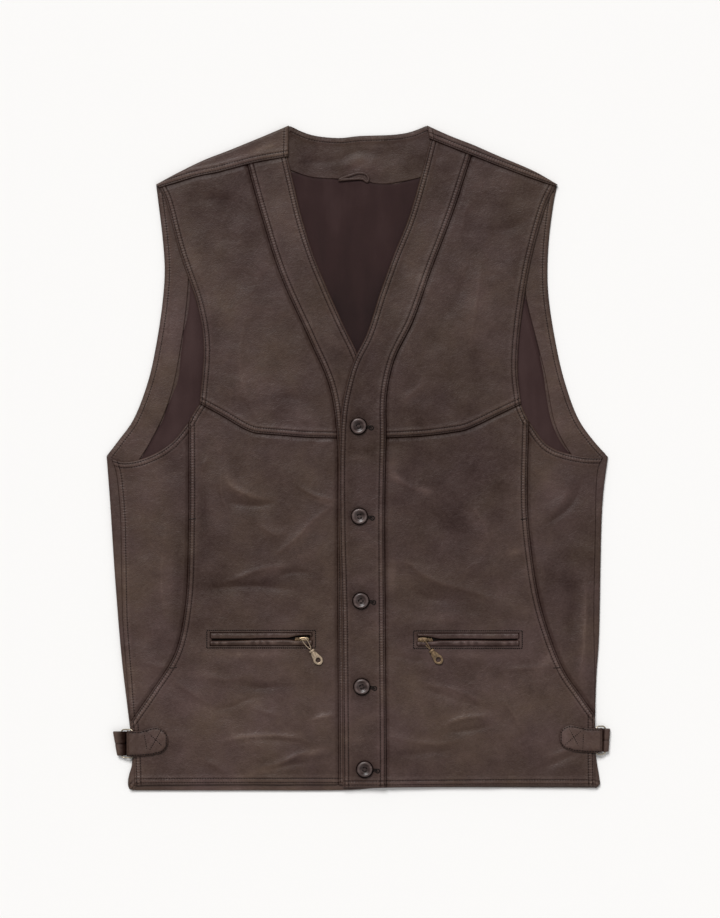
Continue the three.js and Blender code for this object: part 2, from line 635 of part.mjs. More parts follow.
// A zip pocket: its two lips with the slit between them, the tape behind, the slider and its bridge.
function buildPocket(side) {
  const pocket = POCKETS[side];
  const face = panelHeight[side](pocket.x, pocket.y);
  const at = (x, y, z) => [pocket.mouthSide * x + pocket.x, y + pocket.y, z];

  const frame = roundedShape(WINDOW.length - 2 * GAP, WINDOW.width - 2 * GAP, WINDOW.corner);
  const lips = extruded(frame, LIPS.thick, 2);
  const slit = mapped(extruded(slitShape(side), LIPS.thick + 2), (x, y, z) => [x, y, z - 1]);
  const lipsFoot = face + LIPS.proud - LIPS.thick;
  add(`pocket_welts_${side}`, mapped(cut(lips, slit), (x, y, z) => at(x, y, z + lipsFoot)), LEATHER);

  const tapeFoot = lipsFoot - GAP - TAPE.thick;
  const tape = extruded(roundedShape(TAPE.length, TAPE.width, 0.5), TAPE.thick, 1);
  add(`zip_tape_${side}`, mapped(tape, (x, y, z) => at(x, y, z + tapeFoot)), TAPE_CLOTH);

  const sliderFoot = tapeFoot + TAPE.thick + GAP;
  const body = mapped(extruded(roundedShape(SLIDER.length, SLIDER.width, SLIDER.corner), SLIDER.thick, 3),
    (x, y, z) => [x + pocket.slider, y + pocket.y, z + sliderFoot]);
  const top = sliderFoot + SLIDER.thick;
  const axisHeight = top + BRIDGE.rise;
  const span = 2 * BRIDGE.post + BRIDGE.postLength;
  const bar = new THREE.CylinderGeometry(BRIDGE.radius, BRIDGE.radius, span, 10);
  bar.rotateZ(Math.PI / 2);
  bar.translate(pocket.slider, pocket.y, axisHeight);
  const posts = [-1, 1].map((end) => {
    const height = BRIDGE.rise + BRIDGE.radius + BRIDGE.sunk;
    const post = new THREE.BoxGeometry(BRIDGE.postLength, BRIDGE.postWidth, height);
    post.translate(pocket.slider + end * BRIDGE.post, pocket.y, top - BRIDGE.sunk + height / 2);
    return post;
  });
  add(`zip_slider_${side}`, join(body, bar, ...posts), BRASS);
  buildPull(side, axisHeight);
}

// The pull: a wire link round the slider's bar and a flat tab with a round hole, lying on the leather.
function buildPull(side, axisHeight) {
  const pocket = POCKETS[side];
  const tilt = THREE.MathUtils.degToRad(pocket.loopTilt);
  const plane = new THREE.Vector3(0, -Math.sin(tilt), Math.cos(tilt));
  const rise = new THREE.Vector3(0, Math.cos(tilt), Math.sin(tilt));
  const width = 2 * (PULL.eye + PULL.wire);
  const length = PULL.link + 2 * PULL.eye;
  const shift = length / 2 - PULL.eye - PULL.wire;
  const places = ringPlaces(length, width, width / 2 - 0.05, 4).map(([along, up]) => (
    new THREE.Vector3(along + shift, 0, 0).addScaledVector(rise, up)));
  const link = wireRing(places, PULL.wire, 6, plane);

  const { start, end, half, halfNeck, hole, holeAt, thick } = PULL_TAB;
  const outline = new THREE.Shape();
  outline.moveTo(start, -halfNeck);
  outline.bezierCurveTo(start + 3, -1.4 * halfNeck, holeAt - 7, -half, holeAt, -half);
  outline.bezierCurveTo(end - 1, -half, end, -half / 2, end, 0);
  outline.bezierCurveTo(end, half / 2, end - 1, half, holeAt, half);
  outline.bezierCurveTo(holeAt - 7, half, start + 3, 1.4 * halfNeck, start, halfNeck);
  outline.closePath();
  const round = new THREE.Path();
  round.absarc(holeAt, 0, hole, 0, 2 * Math.PI, true);
  outline.holes.push(round);
  const tab = extruded(outline, thick, 5);
  tab.translate(0, 0, -thick / 2);

  const geometry = join(link, tab);
  const drop = THREE.MathUtils.degToRad(PULL.drop);
  geometry.rotateY(drop);
  geometry.rotateZ(THREE.MathUtils.degToRad(pocket.pullTurn));
  const pull = add(`zip_pull_${side}`, geometry, BRASS);
  pull.position.set(pocket.slider, pocket.y, axisHeight);
}

// A four-hole button with a raised rim.
function buildButtons() {
  const { radius, thick, rim, dish, foot } = BUTTON;
  const profile = [
    [0, 0], [foot, 0], [radius - rim * 0.4, thick * 0.3], [radius, thick * 0.6],
    [radius - rim * 0.4, thick], [radius - rim, thick], [radius - 2 * rim, dish], [0, dish],
  ].map(([x, y]) => new THREE.Vector2(x, y));
  const blank = new THREE.LatheGeometry(profile, BUTTON.sides);
  blank.rotateX(Math.PI / 2);
  const corners = [[1, 1], [-1, 1], [-1, -1], [1, -1]];
  const holes = corners.map(([sideX, sideY]) => {
    const hole = new THREE.CylinderGeometry(BUTTON_HOLE.radius, BUTTON_HOLE.radius, 10, 6);
    hole.rotateX(Math.PI / 2);
    hole.translate((sideX * BUTTON_HOLE.pitch) / 2, (sideY * BUTTON_HOLE.pitch) / 2, 0);
    return hole;
  });
  const drilled = holes.reduce((shape, hole) => cut(shape, hole), blank);
  BUTTONS.forEach(([x, y], i) => {
    const button = add(`button_${i + 1}`, drilled.clone(), HORN);
    button.position.set(x, y, bandHeight.right(x, y) + GAP);
  });
}

// The tab of an adjuster: a plate stitched to the front, and a hook that runs over the ring.
function buildTab(side, place, section) {
  const fit = ADJUSTERS[side];
  const { base, thick, arch, wall: hookWall, plateFrom } = TAB;
  const under = arch - hookWall;
  const tabTop = base + thick;
  const hook = section([
    [plateFrom - TAB.overlap, base], [plateFrom / 2, base], [fit.ringIn - 1.8, base + hookWall],
    [fit.ringIn - 0.6, under], [fit.ringIn + 1.6, under], [fit.hookEnd - 1.9, under - 1],
    [fit.hookEnd - 1.5, TAB.hookFoot], [fit.hookEnd, TAB.hookFoot], [fit.hookEnd - 0.2, under - 0.4],
    [fit.hookEnd - 1.5, arch - 0.6], [fit.ringIn + 1.5, arch], [fit.ringIn - 1.5, arch - 0.1],
    [plateFrom + 2, tabTop + 0.2], [plateFrom - TAB.overlap, tabTop],
  ]);
  const width = fit.top - fit.foot - 2 * TAB.inset;
  const hookPiece = mapped(extruded(hook, width), (x, y, z) => place(x, y, fit.foot + TAB.inset + z));

  const { top, foot, crown, plateEnd } = fit;
  const plate = new THREE.Shape();
  plate.moveTo(plateFrom, foot + TAB.inset);
  plate.lineTo(plateFrom, top - TAB.inset);
  plate.bezierCurveTo(-18, top + 1, -24, crown + 1, -29, crown);
  plate.bezierCurveTo(-35, crown - 1, -plateEnd, crown - 6, -plateEnd, crown - 13);
  plate.bezierCurveTo(-plateEnd, crown - 20, -33, foot + 5, -26, foot + 2);
  plate.bezierCurveTo(-20, foot + TAB.inset, -15, foot, plateFrom, foot + TAB.inset);
  const platePiece = mapped(extruded(plate, thick, 3), (x, y, z) => {
    const rise = frontHeight(fit.edge + fit.out * x, y) - EDGE_HEIGHT;
    return place(x, base + rise + z, y);
  });
  add(`side_tab_${side}`, join(hookPiece, platePiece), LEATHER);
}

// The strap that comes from under the side fold, turns round the ring and ends beneath the hook.
function buildStrap(side, place, section) {
  const fit = ADJUSTERS[side];
  const top = STRAP.foot + 2 * STRAP.wall + 2 * RING.wire + 2 * GAP;
  const bend = (top - STRAP.foot) / 2;
  const centre = STRAP.foot + bend;
  const angles = [-90, -54, -18, 18, 54, 90].map((angle) => THREE.MathUtils.degToRad(angle));
  const turn = (radius) => angles.map((angle) => [
    fit.strapTo - bend + radius * Math.cos(angle), centre + radius * Math.sin(angle)]);
  const strap = section([
    [fit.strapRoot, STRAP.foot], ...turn(bend), [fit.strapFrom, top], [fit.strapFrom, top - STRAP.wall],
    ...turn(bend - STRAP.wall).reverse(), [fit.strapRoot, STRAP.foot + STRAP.wall],
  ]);
  const width = fit.top - fit.foot - 2 * STRAP.inset;
  const strapPiece = mapped(extruded(strap, width), (x, y, z) => place(x, y, fit.foot + STRAP.inset + z));
  add(`side_strap_${side}`, strapPiece, LEATHER);
}

// The long metal ring between the tab and the strap, lower on its outer side.
function buildRing(side, place) {
  const fit = ADJUSTERS[side];
  const reach = fit.ringOut - fit.ringIn;
  const fall = RING.heightIn - RING.heightOut;
  const slope = Math.atan2(fall, reach);
  const places = ringPlaces(Math.hypot(reach, fall), RING.length - 2 * RING.wire, RING.corner, 3)
    .map(([across, along]) => new THREE.Vector3(across, along, 0));
  const flatRing = wireRing(places, RING.wire, 8, new THREE.Vector3(0, 0, 1));
  const ring = mapped(flatRing, (x, y, z) => place(
    (fit.ringIn + fit.ringOut) / 2 + x * Math.cos(slope) + z * Math.sin(slope),
    (RING.heightIn + RING.heightOut) / 2 - x * Math.sin(slope) + z * Math.cos(slope),
    (fit.top + fit.foot) / 2 + y));
  add(`side_ring_${side}`, ring, STEEL);
}

// A side adjuster, set out by the run from the edge of the vest and the height.
function buildAdjuster(side) {
  const fit = ADJUSTERS[side];
  const place = (run, height, y) => [fit.edge + fit.out * run, y, height];
  const section = (rows) => new THREE.Shape(rows.map(([run, height]) => new THREE.Vector2(run, height)));
  buildTab(side, place, section);
  buildStrap(side, place, section);
  buildRing(side, place);
}

buildBack();
buildInside();
buildFronts();
buildPocket('left');
buildPocket('right');
buildButtons();
buildAdjuster('left');
buildAdjuster('right');

export default part;
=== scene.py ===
"""The looks of a leather vest laid flat: panels, seams, stitches, lining, zips, buttons and light."""
import math

import bpy
import numpy as np
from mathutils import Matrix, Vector


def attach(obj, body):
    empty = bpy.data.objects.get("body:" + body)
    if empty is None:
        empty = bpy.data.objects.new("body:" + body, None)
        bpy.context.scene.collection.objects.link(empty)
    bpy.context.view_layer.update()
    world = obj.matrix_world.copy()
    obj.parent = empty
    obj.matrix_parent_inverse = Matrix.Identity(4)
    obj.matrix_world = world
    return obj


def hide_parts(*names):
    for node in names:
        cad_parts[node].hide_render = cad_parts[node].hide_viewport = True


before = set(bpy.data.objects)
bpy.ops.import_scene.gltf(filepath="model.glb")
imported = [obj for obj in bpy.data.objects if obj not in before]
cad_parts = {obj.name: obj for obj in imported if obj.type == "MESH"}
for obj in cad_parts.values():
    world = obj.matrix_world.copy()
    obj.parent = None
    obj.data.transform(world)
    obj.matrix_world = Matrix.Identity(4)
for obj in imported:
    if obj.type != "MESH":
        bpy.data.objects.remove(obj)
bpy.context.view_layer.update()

# Millimetres. X runs to the right as the laid vest is seen, Y from hem to neck, Z up from the surface.
MM = 0.001
SIDES = ("left", "right")
OUT = {"left": -1, "right": 1}

# Leather and heights
WALL = 1.5
FOLD = 2.6
EDGE_HEIGHT = 2 * FOLD
DOME = 0.8
LAP = 1.8
LAP_SHARE = 0.55
INSIDE_HEIGHT = 2.8

# Outline of the back
BACK = {
    "left": {
        "shoulder": [[-212, 287], [-187, 300.5], [-161, 313], [-134, 323.5], [-101, 337], [-72.5, 349]],
        "armhole": [[-212, 287], [-210, 271], [-205, 229], [-203, 197], [-205, 166], [-211, 124],
                    [-220, 82], [-236, 40], [-251, 19], [-264, 2]],
        "side": [[-264, 2], [-260.5, -44], [-255, -128], [-248, -212], [-240.5, -275], [-237.5, -302],
                 [-237.5, -322], [-240.5, -333], [-241.6, -341], [-240, -347], [-235.5, -349]],
    },
    "right": {
        "shoulder": [[209.5, 287], [186, 300.5], [143, 319], [119, 329.5], [97, 338], [72.5, 349]],
        "armhole": [[209.5, 287], [206, 271], [200.5, 229], [199, 192], [200.5, 166], [207, 124],
                    [216.5, 82], [232, 40], [250, 15], [262.5, 1.5]],
        "side": [[262.5, 1.5], [257, -44], [253, -191], [250.5, -228], [249, -280], [250, -312],
                 [253.5, -336], [254, -342], [251, -346.2]],
    },
    "neck": [[-72.5, 349], [-62, 344], [-50, 339.5], [-36, 337], [-18, 336], [0, 338], [38, 339.5],
             [54, 342], [64, 345.5], [72.5, 349]],
    "hem": [[-235.5, -349], [-124, -349], [-6, -348.5], [20, -346.5], [222, -346], [251, -346.2]],
}

# Seams and edges of the fronts
CORNER = {"left": [-166, 57], "right": [171, 56.5]}
PANEL_TOP = {"left": [-177.5, 38], "right": [179, 39]}
TAB_CORNER = {"left": [-238, -276], "right": [248.5, -270]}
FRONT = {
    "left": {
        "shoulder": [[-208, 283.5], [-193, 288], [-168, 295.5], [-148, 299.5], [-116, 308]],
        "bandTop": [[-116, 308], [-103, 311], [-74, 316]],
        "seamEnd": [-73.2, 316.2],
        "armhole": [[-208, 283.5], [-202.5, 272], [-188, 218], [-168, 158], [-162, 119], CORNER["left"]],
        "bandSeam": [[-116, 308], [-103.5, 262.5], [-81.5, 193], [-51.5, 126], [-29.5, 74], [-22, 21],
                     [-21.5, -65], [-21, -170], [-20, -343]],
        "yokeSeam": [CORNER["left"], [-143, 44.5], [-121, 31.5], [-110, 26.8], [-98, 25.2],
                     [-81.5, 24], [-54, 21.8], [-22, 21]],
        "edge": [[-74, 316], [-69, 294.5], [-59, 252.5], [-46.5, 213], [-31.5, 176], [-17, 143.5],
                 [-2, 112.5], [12.5, 76.5], [20, 48.5], [22, 19], [22.5, -65], [23, -149], [23, -343]],
        "armholeFoot": [CORNER["left"], [-172, 48], PANEL_TOP["left"]],
        "underarm": [PANEL_TOP["left"], [-196, 16], [-220, 1.5], [-244, -4], [-258.5, -1]],
        "panelSeam": [PANEL_TOP["left"], [-177.5, -64], [-181, -155], [-192, -205], [-216, -244],
                      TAB_CORNER["left"]],
        "sideSeam": [[-258.5, -1], [-254, -15], [-249.5, -59], [-248.5, -101], [-247, -171],
                     [-244, -212], [-239.3, -274]],
        "vent": [TAB_CORNER["left"], [-235.5, -314], [-234.5, -343.5]],
        "hem": [[-234.5, -343.5], [-166, -343], [-20, -343]],
        "bandHem": [[-20, -343], [23, -343]],
    },
    "right": {
        "shoulder": [[207, 285], [197.5, 288], [160, 301.5], [119, 317.5]],
        "bandTop": [[119, 317.5], [98.5, 325.5], [76, 334.5]],
        "seamEnd": [74.8, 335],
        "armhole": [[207, 285], [197.5, 265], [181, 205.5], [170, 136], [167.5, 92.5], CORNER["right"]],
        "bandSeam": [[119, 317.5], [99.5, 257.5], [77, 198], [57.5, 143.5], [38, 103], [30, 66],
                     [29.5, 21], [28, -44], [28.5, -170], [29.5, -301], [29.5, -345.5]],
        "yokeSeam": [CORNER["right"], [147, 45.2], [124, 34], [112, 29.2], [100, 27], [69.5, 23.2],
                     [29.5, 21]],
        "edge": [[76, 334.5], [65, 292], [52.5, 250], [37.5, 213], [22.5, 171], [9, 129.5],
                 [-5.5, 100], [-14, 70], [-18, 46], [-20, 8.5], [-20, -70], [-17.5, -170],
                 [-16.5, -283], [-16, -345.5]],
        "armholeFoot": [CORNER["right"], [174.5, 48], PANEL_TOP["right"]],
        "underarm": [PANEL_TOP["right"], [200.5, 12.5], [233.5, 2], [257, 1]],
        "panelSeam": [PANEL_TOP["right"], [177.5, -44], [180.5, -87], [191.5, -155], [215, -221],
                      [234.5, -250], TAB_CORNER["right"]],
        "sideSeam": [[257, 1], [252, -10.5], [249, -87], [247.5, -171], [248.3, -212], [248.8, -272]],
        "vent": [TAB_CORNER["right"], [248.5, -314], [249, -344.5]],
        "hem": [[249, -344.5], [138, -344.5], [29.5, -345.5]],
        "bandHem": [[29.5, -345.5], [-16, -345.5]],
    },
}

# Inside pieces that show in the neck and the armholes
INSIDE = {
    "neckTop": [[-77, 343], [-72, 348], [-67, 346.4], [-60, 342.8], [-50, 339.2], [-36, 336.7], [-18, 335.7],
                [0, 337.7], [38, 339.2], [54, 341.7], [64, 345], [71, 348.2], [75, 348], [79, 343]],
    "neckFoot": [[-84, 306.5], [-69.5, 301.5], [-50.5, 295], [-13.5, 292.5], [8.5, 291], [15, 288.5],
                 [28.5, 287.5], [46, 290], [64, 294], [86, 302]],
    "facing": {
        "left": [[-196, 278], [-184, 262], [-179, 240], [-177.5, 213], [-179, 171], [-186.5, 114],
                 [-195, 71.5], [-205.5, 41.5], [-220, 13.5], [-229, -1], [-238, -15]],
        "right": [[194, 278], [181, 262], [174, 240], [173, 213], [176, 171], [188.5, 119], [196, 89],
                  [205.5, 39.5], [212, 23], [223, 4.5], [236, -13]],
    },
    "liningFoot": [[-238, -15], [0, -15], [236, -13]],
}

# Edge styles: the ridge beside an edge and where it ends, the rounding of the edge and the painted shade
# along it (below zero, a painted highlight), stitch rows
def edge_style(ridge=0, to=1, fade=1, drop=0.5, turn=0.8, dark=0, rows=()):
    """One style of edge."""
    return {"ridge": ridge, "to": to, "fade": fade, "drop": drop, "turn": turn, "dark": dark, "rows": rows}


STYLES = {
    "lap": edge_style(ridge=0.42, to=7.4, fade=3.2, drop=0.8, turn=1.1, dark=0.72, rows=(1.8, 6.0)),
    "free": edge_style(ridge=0.5, to=7.6, fade=3.2, drop=1.2, turn=1.7, dark=0.1, rows=(2.3, 6.3)),
    "hem": edge_style(ridge=0.5, to=7.6, fade=3.2, drop=1.2, turn=1.7, dark=0.2, rows=(2.7, 7.0)),
    "side": edge_style(ridge=0.2, to=6.4, fade=2.6, drop=0.7, turn=1.0, dark=0.75, rows=(5.0,)),
    "facing": edge_style(ridge=0.45, to=6.0, fade=2.6, drop=1.0, turn=1.6, dark=0.1, rows=(4.8,)),
    "joined": edge_style(dark=0.7),
    "plain": edge_style(dark=0.5),
    "turned": edge_style(drop=1.4, turn=2.0, dark=-0.35),
    "fold": edge_style(),
    "under": edge_style(),
}
# A panel under another dips and tucks; line and shade are the painted shadow line and painted shade beside
# the edge over it
UNDER = {"dip": 0.95, "reach": 4.6, "tuck": 2.2, "line": 0.7, "shade": 0.34}
# Reach of the painted shade along an edge, and the painted highlight on the ridge beside it
EDGE_LINE = (1.2, 0.2)
RIDGE_HIGHLIGHT = 0.12
# Stitch grooves: depth and width, and the tone and width of the painted shade in them
GROOVE = {"deep": 0.26, "width": 0.55, "tone": 0.72, "tone_width": 0.62}
# Puff of the strip between rows, with the painted highlight on it and just beyond the last row
PUFF = {"height": 0.16, "wave": 0.12, "pitch": 15.0, "middle": 4, "width": 1.6, "tone": 0.28,
        "tone_middle": 3.9, "tone_width": 1.3, "beyond": 2.2, "beyond_tone": 0.1, "beyond_width": 1.2}
# Puckers beside stitched seams, with painted light and shade across them
PUCKER = {"reach": 2.4, "pitch": 2.9, "tone": 0.08, "height": 0.5}
EDGE_STEPS = np.array([0, .2, .5, .9, 1.4, 1.8, 2.2, 2.8, 3.8, 4.8, 5.5, 6.0, 6.5, 7.2, 8.4, 10, 12])
ALLOWANCE = 3.0
LOWEST = 0.05
STITCH = {"pitch": 2.7, "length": 1.7, "width": 1.15, "height": 0.42, "sink": 0.12}
STITCH_SECTIONS = [(-0.34, 0.86), (0.34, 0.86)]

# Creases: places along each one, half width, and rise; below zero it is a trough
CREASE_RISE = 1.5
CREASE_WIDTH = 0.62
CREASE_TIP = 0.8
# Paleness of crease crests: rubbed wear and painted highlight
CREST_WEAR_AND_HIGHLIGHT = 0.35
CREASES = [
    ([[-138, -15], [-134, -28], [-122, -35.5], [-108, -41], [-94, -43]], 7, 0.85),
    ([[-158, 1], [-161, -6], [-163, -13]], 2.5, 0.6),
    ([[-111, -261], [-98.5, -266], [-82, -270]], 2.5, 0.4),
    ([[-138, -46], [-112, -50], [-86, -47]], 5, -0.9),
    ([[-162, -10], [-162, -48], [-161, -82]], 3.5, -0.7),
    ([[-144, -12], [-142.5, -40], [-138, -51], [-136.5, -62]], 3, 0.6),
    ([[-22, -43], [-31, -53], [-50, -68], [-64, -83], [-90, -104]], 5, 0.7),
    ([[-64, -28], [-50, -37], [-32, -43], [-22, -44]], 3, 0.8),
    ([[-146, -131.5], [-126, -126], [-108, -118.5], [-91, -115], [-66, -115]], 4.5, 0.7),
    ([[-156, -137], [-110, -134], [-66, -139]], 6.5, -1.0),
    ([[-84, -124.5], [-68, -119.5], [-48, -121]], 4, -0.8),
    ([[-100, -72], [-86, -80], [-72, -76]], 6, 0.5),
    ([[-130, -236], [-104, -241], [-78, -239]], 8, -1.1),
    ([[-152, -265], [-131, -260], [-116, -253.5], [-100, -250]], 3, -0.45),
    ([[-193, -234], [-174, -246], [-158, -256]], 8, 0.7),
    ([[-168, -226], [-140, -232], [-112, -228]], 6, 0.5),
    ([[-141, -299], [-133, -295], [-122, -292.3], [-97, -291], [-75, -292], [-61, -294], [-50, -298.5]],
     2.6, 0.85),
    ([[-134, -300], [-110, -295.5], [-82, -295.5], [-60, -300]], 3.4, -0.55),
    ([[-107, -326.5], [-97, -323.5], [-82, -320.5], [-71, -315], [-60, -310.5], [-44, -309.5]], 3.2, 0.9),
    ([[-94, -326.5], [-72, -321.5], [-54, -318.5]], 4.5, -0.8),
    ([[-164, -316], [-150, -322], [-132, -334]], 4, 0.5),
    ([[-49, -275.5], [-39, -271.5], [-24, -269.5]], 2.6, 0.9),
    ([[-52, -205], [-46, -240], [-50, -270]], 8, 0.5),
    ([[-196, -232], [-190, -212], [-200, -190]], 6, -0.4),
    ([[-224, -214], [-204, -219], [-192, -214]], 3.5, 0.4),
    ([[33, -111], [52, -109], [64, -119], [84, -130], [118, -139], [150, -150]], 5, 0.6),
    ([[40, -130], [70, -146], [106, -150]], 13, -0.8),
    ([[36, -14], [48, -26], [66, -34]], 4.5, 0.6),
    ([[62, -50], [84, -64], [98, -92]], 11, -0.35),
    ([[104, -38], [128, -62], [140, -96]], 11, 0.6),
    ([[60, -230.5], [78, -238.5], [97, -242], [114, -248], [140, -258]], 3, 0.5),
    ([[56, -237], [92, -250], [136, -263]], 4, -0.35),
    ([[87, -285], [96, -277.5], [107, -273.5], [124, -271], [140, -270.5]], 3.4, 0.75),
    ([[92, -288], [118, -285], [142, -280]], 4, -0.7),
    ([[36, -292], [60, -298], [84, -300], [108, -296]], 3.4, 0.5),
    ([[32, -313], [60, -310], [102, -306]], 7, -0.75),
    ([[150, -250], [163, -268], [176, -290]], 7, 0.6),
    ([[192, -326], [212, -317], [230, -308]], 4, -0.8),
    ([[196, -316], [214, -309], [228, -302]], 4, 0.6),
    ([[34, -206], [60, -212], [90, -210]], 5, -0.5),
    ([[152, -222], [180, -220], [206, -218]], 3, 0.5),
    ([[196, -70], [217, -56], [229, -40], [236, -22]], 4, -0.9),
    ([[200, -62], [214, -46], [222, -24]], 5, 0.4),
    ([[238, -124], [238, -170], [236, -205], [231, -240]], 4.5, 0.8),
    ([[226, -110], [228, -160], [220, -205]], 8, -0.5),
    ([[-200, -60], [-206, -120], [-202, -180]], 10, 0.5),
    ([[-92, 20], [-120, 74], [-124, 110], [-116, 160]], 12, 0.5),
    ([[-84, 62], [-70, 64], [-58, 60]], 9, -0.5),
    ([[-176, 214], [-160, 176], [-152, 130]], 10, 0.6),
    ([[-170, 270], [-150, 272], [-124, 268]], 8, -0.5),
    ([[-106, 232], [-98, 190], [-104, 150]], 11, -0.4),
    ([[82, 138], [104, 166], [118, 206]], 8, -0.4),
    ([[118, 120], [124, 166], [130, 206]], 10, 0.6),
    ([[128, 278], [112, 258], [108, 228]], 9, 0.5),
    ([[132, 240], [158, 240], [182, 252]], 10, -0.5),
    ([[146, 200], [162, 186], [168, 160]], 9, 0.5),
    ([[46, 60], [62, 72], [76, 82]], 7, 0.5),
    ([[128, 92], [122, 110], [116, 124]], 6, -0.4),
]

# Pale and dark places on the leather: rubbed scuffs and smudges, with painted shade in crease troughs and
# painted highlights on folds; middle, direction in degrees, half length, half width, tone
DARK_SHARE = 0.65
# Painted shadow on the leather round each button: reach and tone
BUTTON_SHADE = {"reach": 9.8, "tone": -1.3}
WEAR_AND_PAINTED_LIGHT = [
    (-100, -270, 0, 140, 75, 0.42), (110, -270, 0, 150, 75, 0.16), (95, -40, 0, 90, 70, -0.55),
    (-220, -100, 90, 120, 26, 0.34), (-110, -348.5, 0, 170, 3.5, 0.5), (-90, -60, 0, 70, 60, 0.1),
    (-30, -200, 90, 160, 10, 0.1),
    (-80, 61, 4, 26, 9, -0.5), (-153, 271, -6, 30, 9, -0.15), (-171, 206, -66, 24, 7, 0.35),
    (-118, 87, 70, 15, 7, 0.3), (-108, 165, 88, 46, 12, -0.15), (-140, 262, 8, 26, 8, -0.2),
    (133, 286, 8, 24, 8, 0.28), (160, 241, -8, 34, 12, -0.18), (102, 171, 60, 38, 8, -0.18),
    (123, 166, 75, 48, 10, 0.2), (123, 108, 70, 14, 7, -0.3), (57, 66, 45, 16, 5, 0.3),
    (-77, 248, -72, 28, 15, 0.35), (-26, 122, -40, 14, 6, 0.3), (60, 197, 68, 55, 12, 0.25),
    (72, 178, -58, 18, 3, 0.35), (83, 305, -10, 14, 7, -0.3), (32, 113, 60, 24, 12, -0.2),
    (-131, -27, -45, 12, 6, 0.5), (-108, -39, -12, 20, 5, 0.3), (-87, -76, 0, 18, 9, 0.35),
    (-153, -110, 30, 14, 8, 0.25), (-40, -22, 10, 20, 14, 0.2), (-119, -206, 0, 46, 4, 0.4),
    (-176, -254, -30, 20, 10, 0.3), (-35, -175, 80, 30, 8, 0.2), (-42, -273, 20, 14, 6, 0.4),
    (-101, -328, 14, 22, 3.5, 0.5), (-45, -308, 20, 12, 4, 0.5), (-108, -131, 2, 46, 7, -0.55),
    (-101, -241, 0, 28, 8, -0.6), (-161, -52, 88, 30, 4, -0.3), (-166, -226, 0, 20, 5, 0.3),
    (-66, -122, 0, 18, 4, -0.4), (-82, -114, 25, 40, 5, 0.3), (-38, -44, -12, 12, 3, 0.5),
    (-110, -292, 4, 40, 3, 0.3), (-50, -72, 46, 34, 5, 0.25), (-64, -318, 12, 26, 4, -0.4),
    (40, -21, -38, 9, 4, 0.7), (66, -33, -20, 5, 3, 0.5), (73, -35, 0, 6, 4, 0.65), (36, -7, 0, 8, 6, 0.35),
    (94, -65, -20, 20, 12, -0.2), (126, -65, -60, 32, 12, 0.25), (165, -98, 15, 8, 4, 0.65),
    (76, -144, 0, 40, 12, -0.4), (84, -168, 0, 34, 6, 0.35), (118, -207, 0, 52, 4, 0.28),
    (36, -123, 88, 16, 4, 0.4), (196, -212, 60, 12, 5, 0.35), (107, -271, 10, 34, 5, 0.25),
    (118, -287, 5, 26, 4, -0.3), (60, -312, 4, 34, 7, -0.3), (112, -312, 20, 10, 5, 0.35),
    (97, -246, -17, 46, 3, 0.15), (57, -111, -8, 22, 3, 0.2), (40, -250, -80, 18, 8, -0.2),
    (150, -160, -10, 30, 6, -0.25), (76, -296, -5, 40, 5, 0.25), (134, -104, 70, 16, 5, -0.3),
    (-189, -139, 88, 46, 6, -0.35), (-208, -18, 0, 20, 12, 0.2), (-200, -120, 88, 50, 8, 0.15),
    (-228, -228, -20, 24, 14, 0.25), (-246, -60, 88, 30, 6, 0.15),
    (196, -23, -60, 20, 9, 0.35), (237, -191, 89, 55, 4, 0.4), (223, -149, 88, 52, 9, -0.3),
    (216, -55, 40, 22, 4, -0.4), (204, -110, 80, 40, 7, -0.25),
    (0, 311, 20, 11, 8, 0.55), (4, 321, 10, 12, 4, -0.35), (21, 320, 15, 11, 3, -0.35),
    (-50, 311, 0, 17, 3, -0.3), (30, 306, 0, 20, 8, 0.2), (-105, 323, 18, 24, 3.5, 0.6),
    (-3, -86, 40, 12, 5, -0.4), (4, -251, 0, 14, 4, -0.4), (2, 0, 0, 12, 4, 0.35),
    (4, -128, 0, 12, 6, 0.3), (-3, -296, 0, 12, 5, 0.35), (12, -272, 20, 12, 5, 0.3),
    (-196, 130, 78, 60, 9, 0.25), (196, 120, -78, 60, 9, 0.2), (-228, 30, 50, 22, 8, 0.25),
    (0, 100, 0, 60, 60, -0.1), (218, 30, -45, 26, 8, 0.15),
]

# Pockets, sliders and pulls
WINDOW = {"length": 108.0, "width": 17.5}
LIP_EDGE = 1.85
POCKETS = {
    "left": {"x": -101.5, "y": -190, "slider": -56.5, "mouth": 1, "turn": -56, "tilt": 25,
             "slope": 0.022},
    "right": {"x": 115.2, "y": -190.5, "slider": 68, "mouth": -1, "turn": -52, "tilt": 60,
              "slope": -0.004},
}
PULL_AXIS_RISE = 3.1
PULL = {"wire": 0.5, "eye": 1.4, "link": 12.4, "drop": 3.0}
PULL_TAB = {"start": 14.6, "end": 31.8, "half": 4.9, "neck": 2.5, "thick": 1.3, "hole": 2.6, "hole_at": 26.3}

# Buttons: place, and turn of the four holes in degrees
BUTTONS = [(0.5, 33.5, 28), (1.5, -61, 8), (3, -149.5, 40), (4, -239.5, 20), (7, -326, -12)]
BUTTON = {"radius": 9.0, "thick": 3.4, "hole": 1.4, "pitch": 4.0}

SEAM_BARS = [("left", -173.5, -64), ("left", -193.5, -220), ("right", 174, -64), ("right", 208.4, -220)]

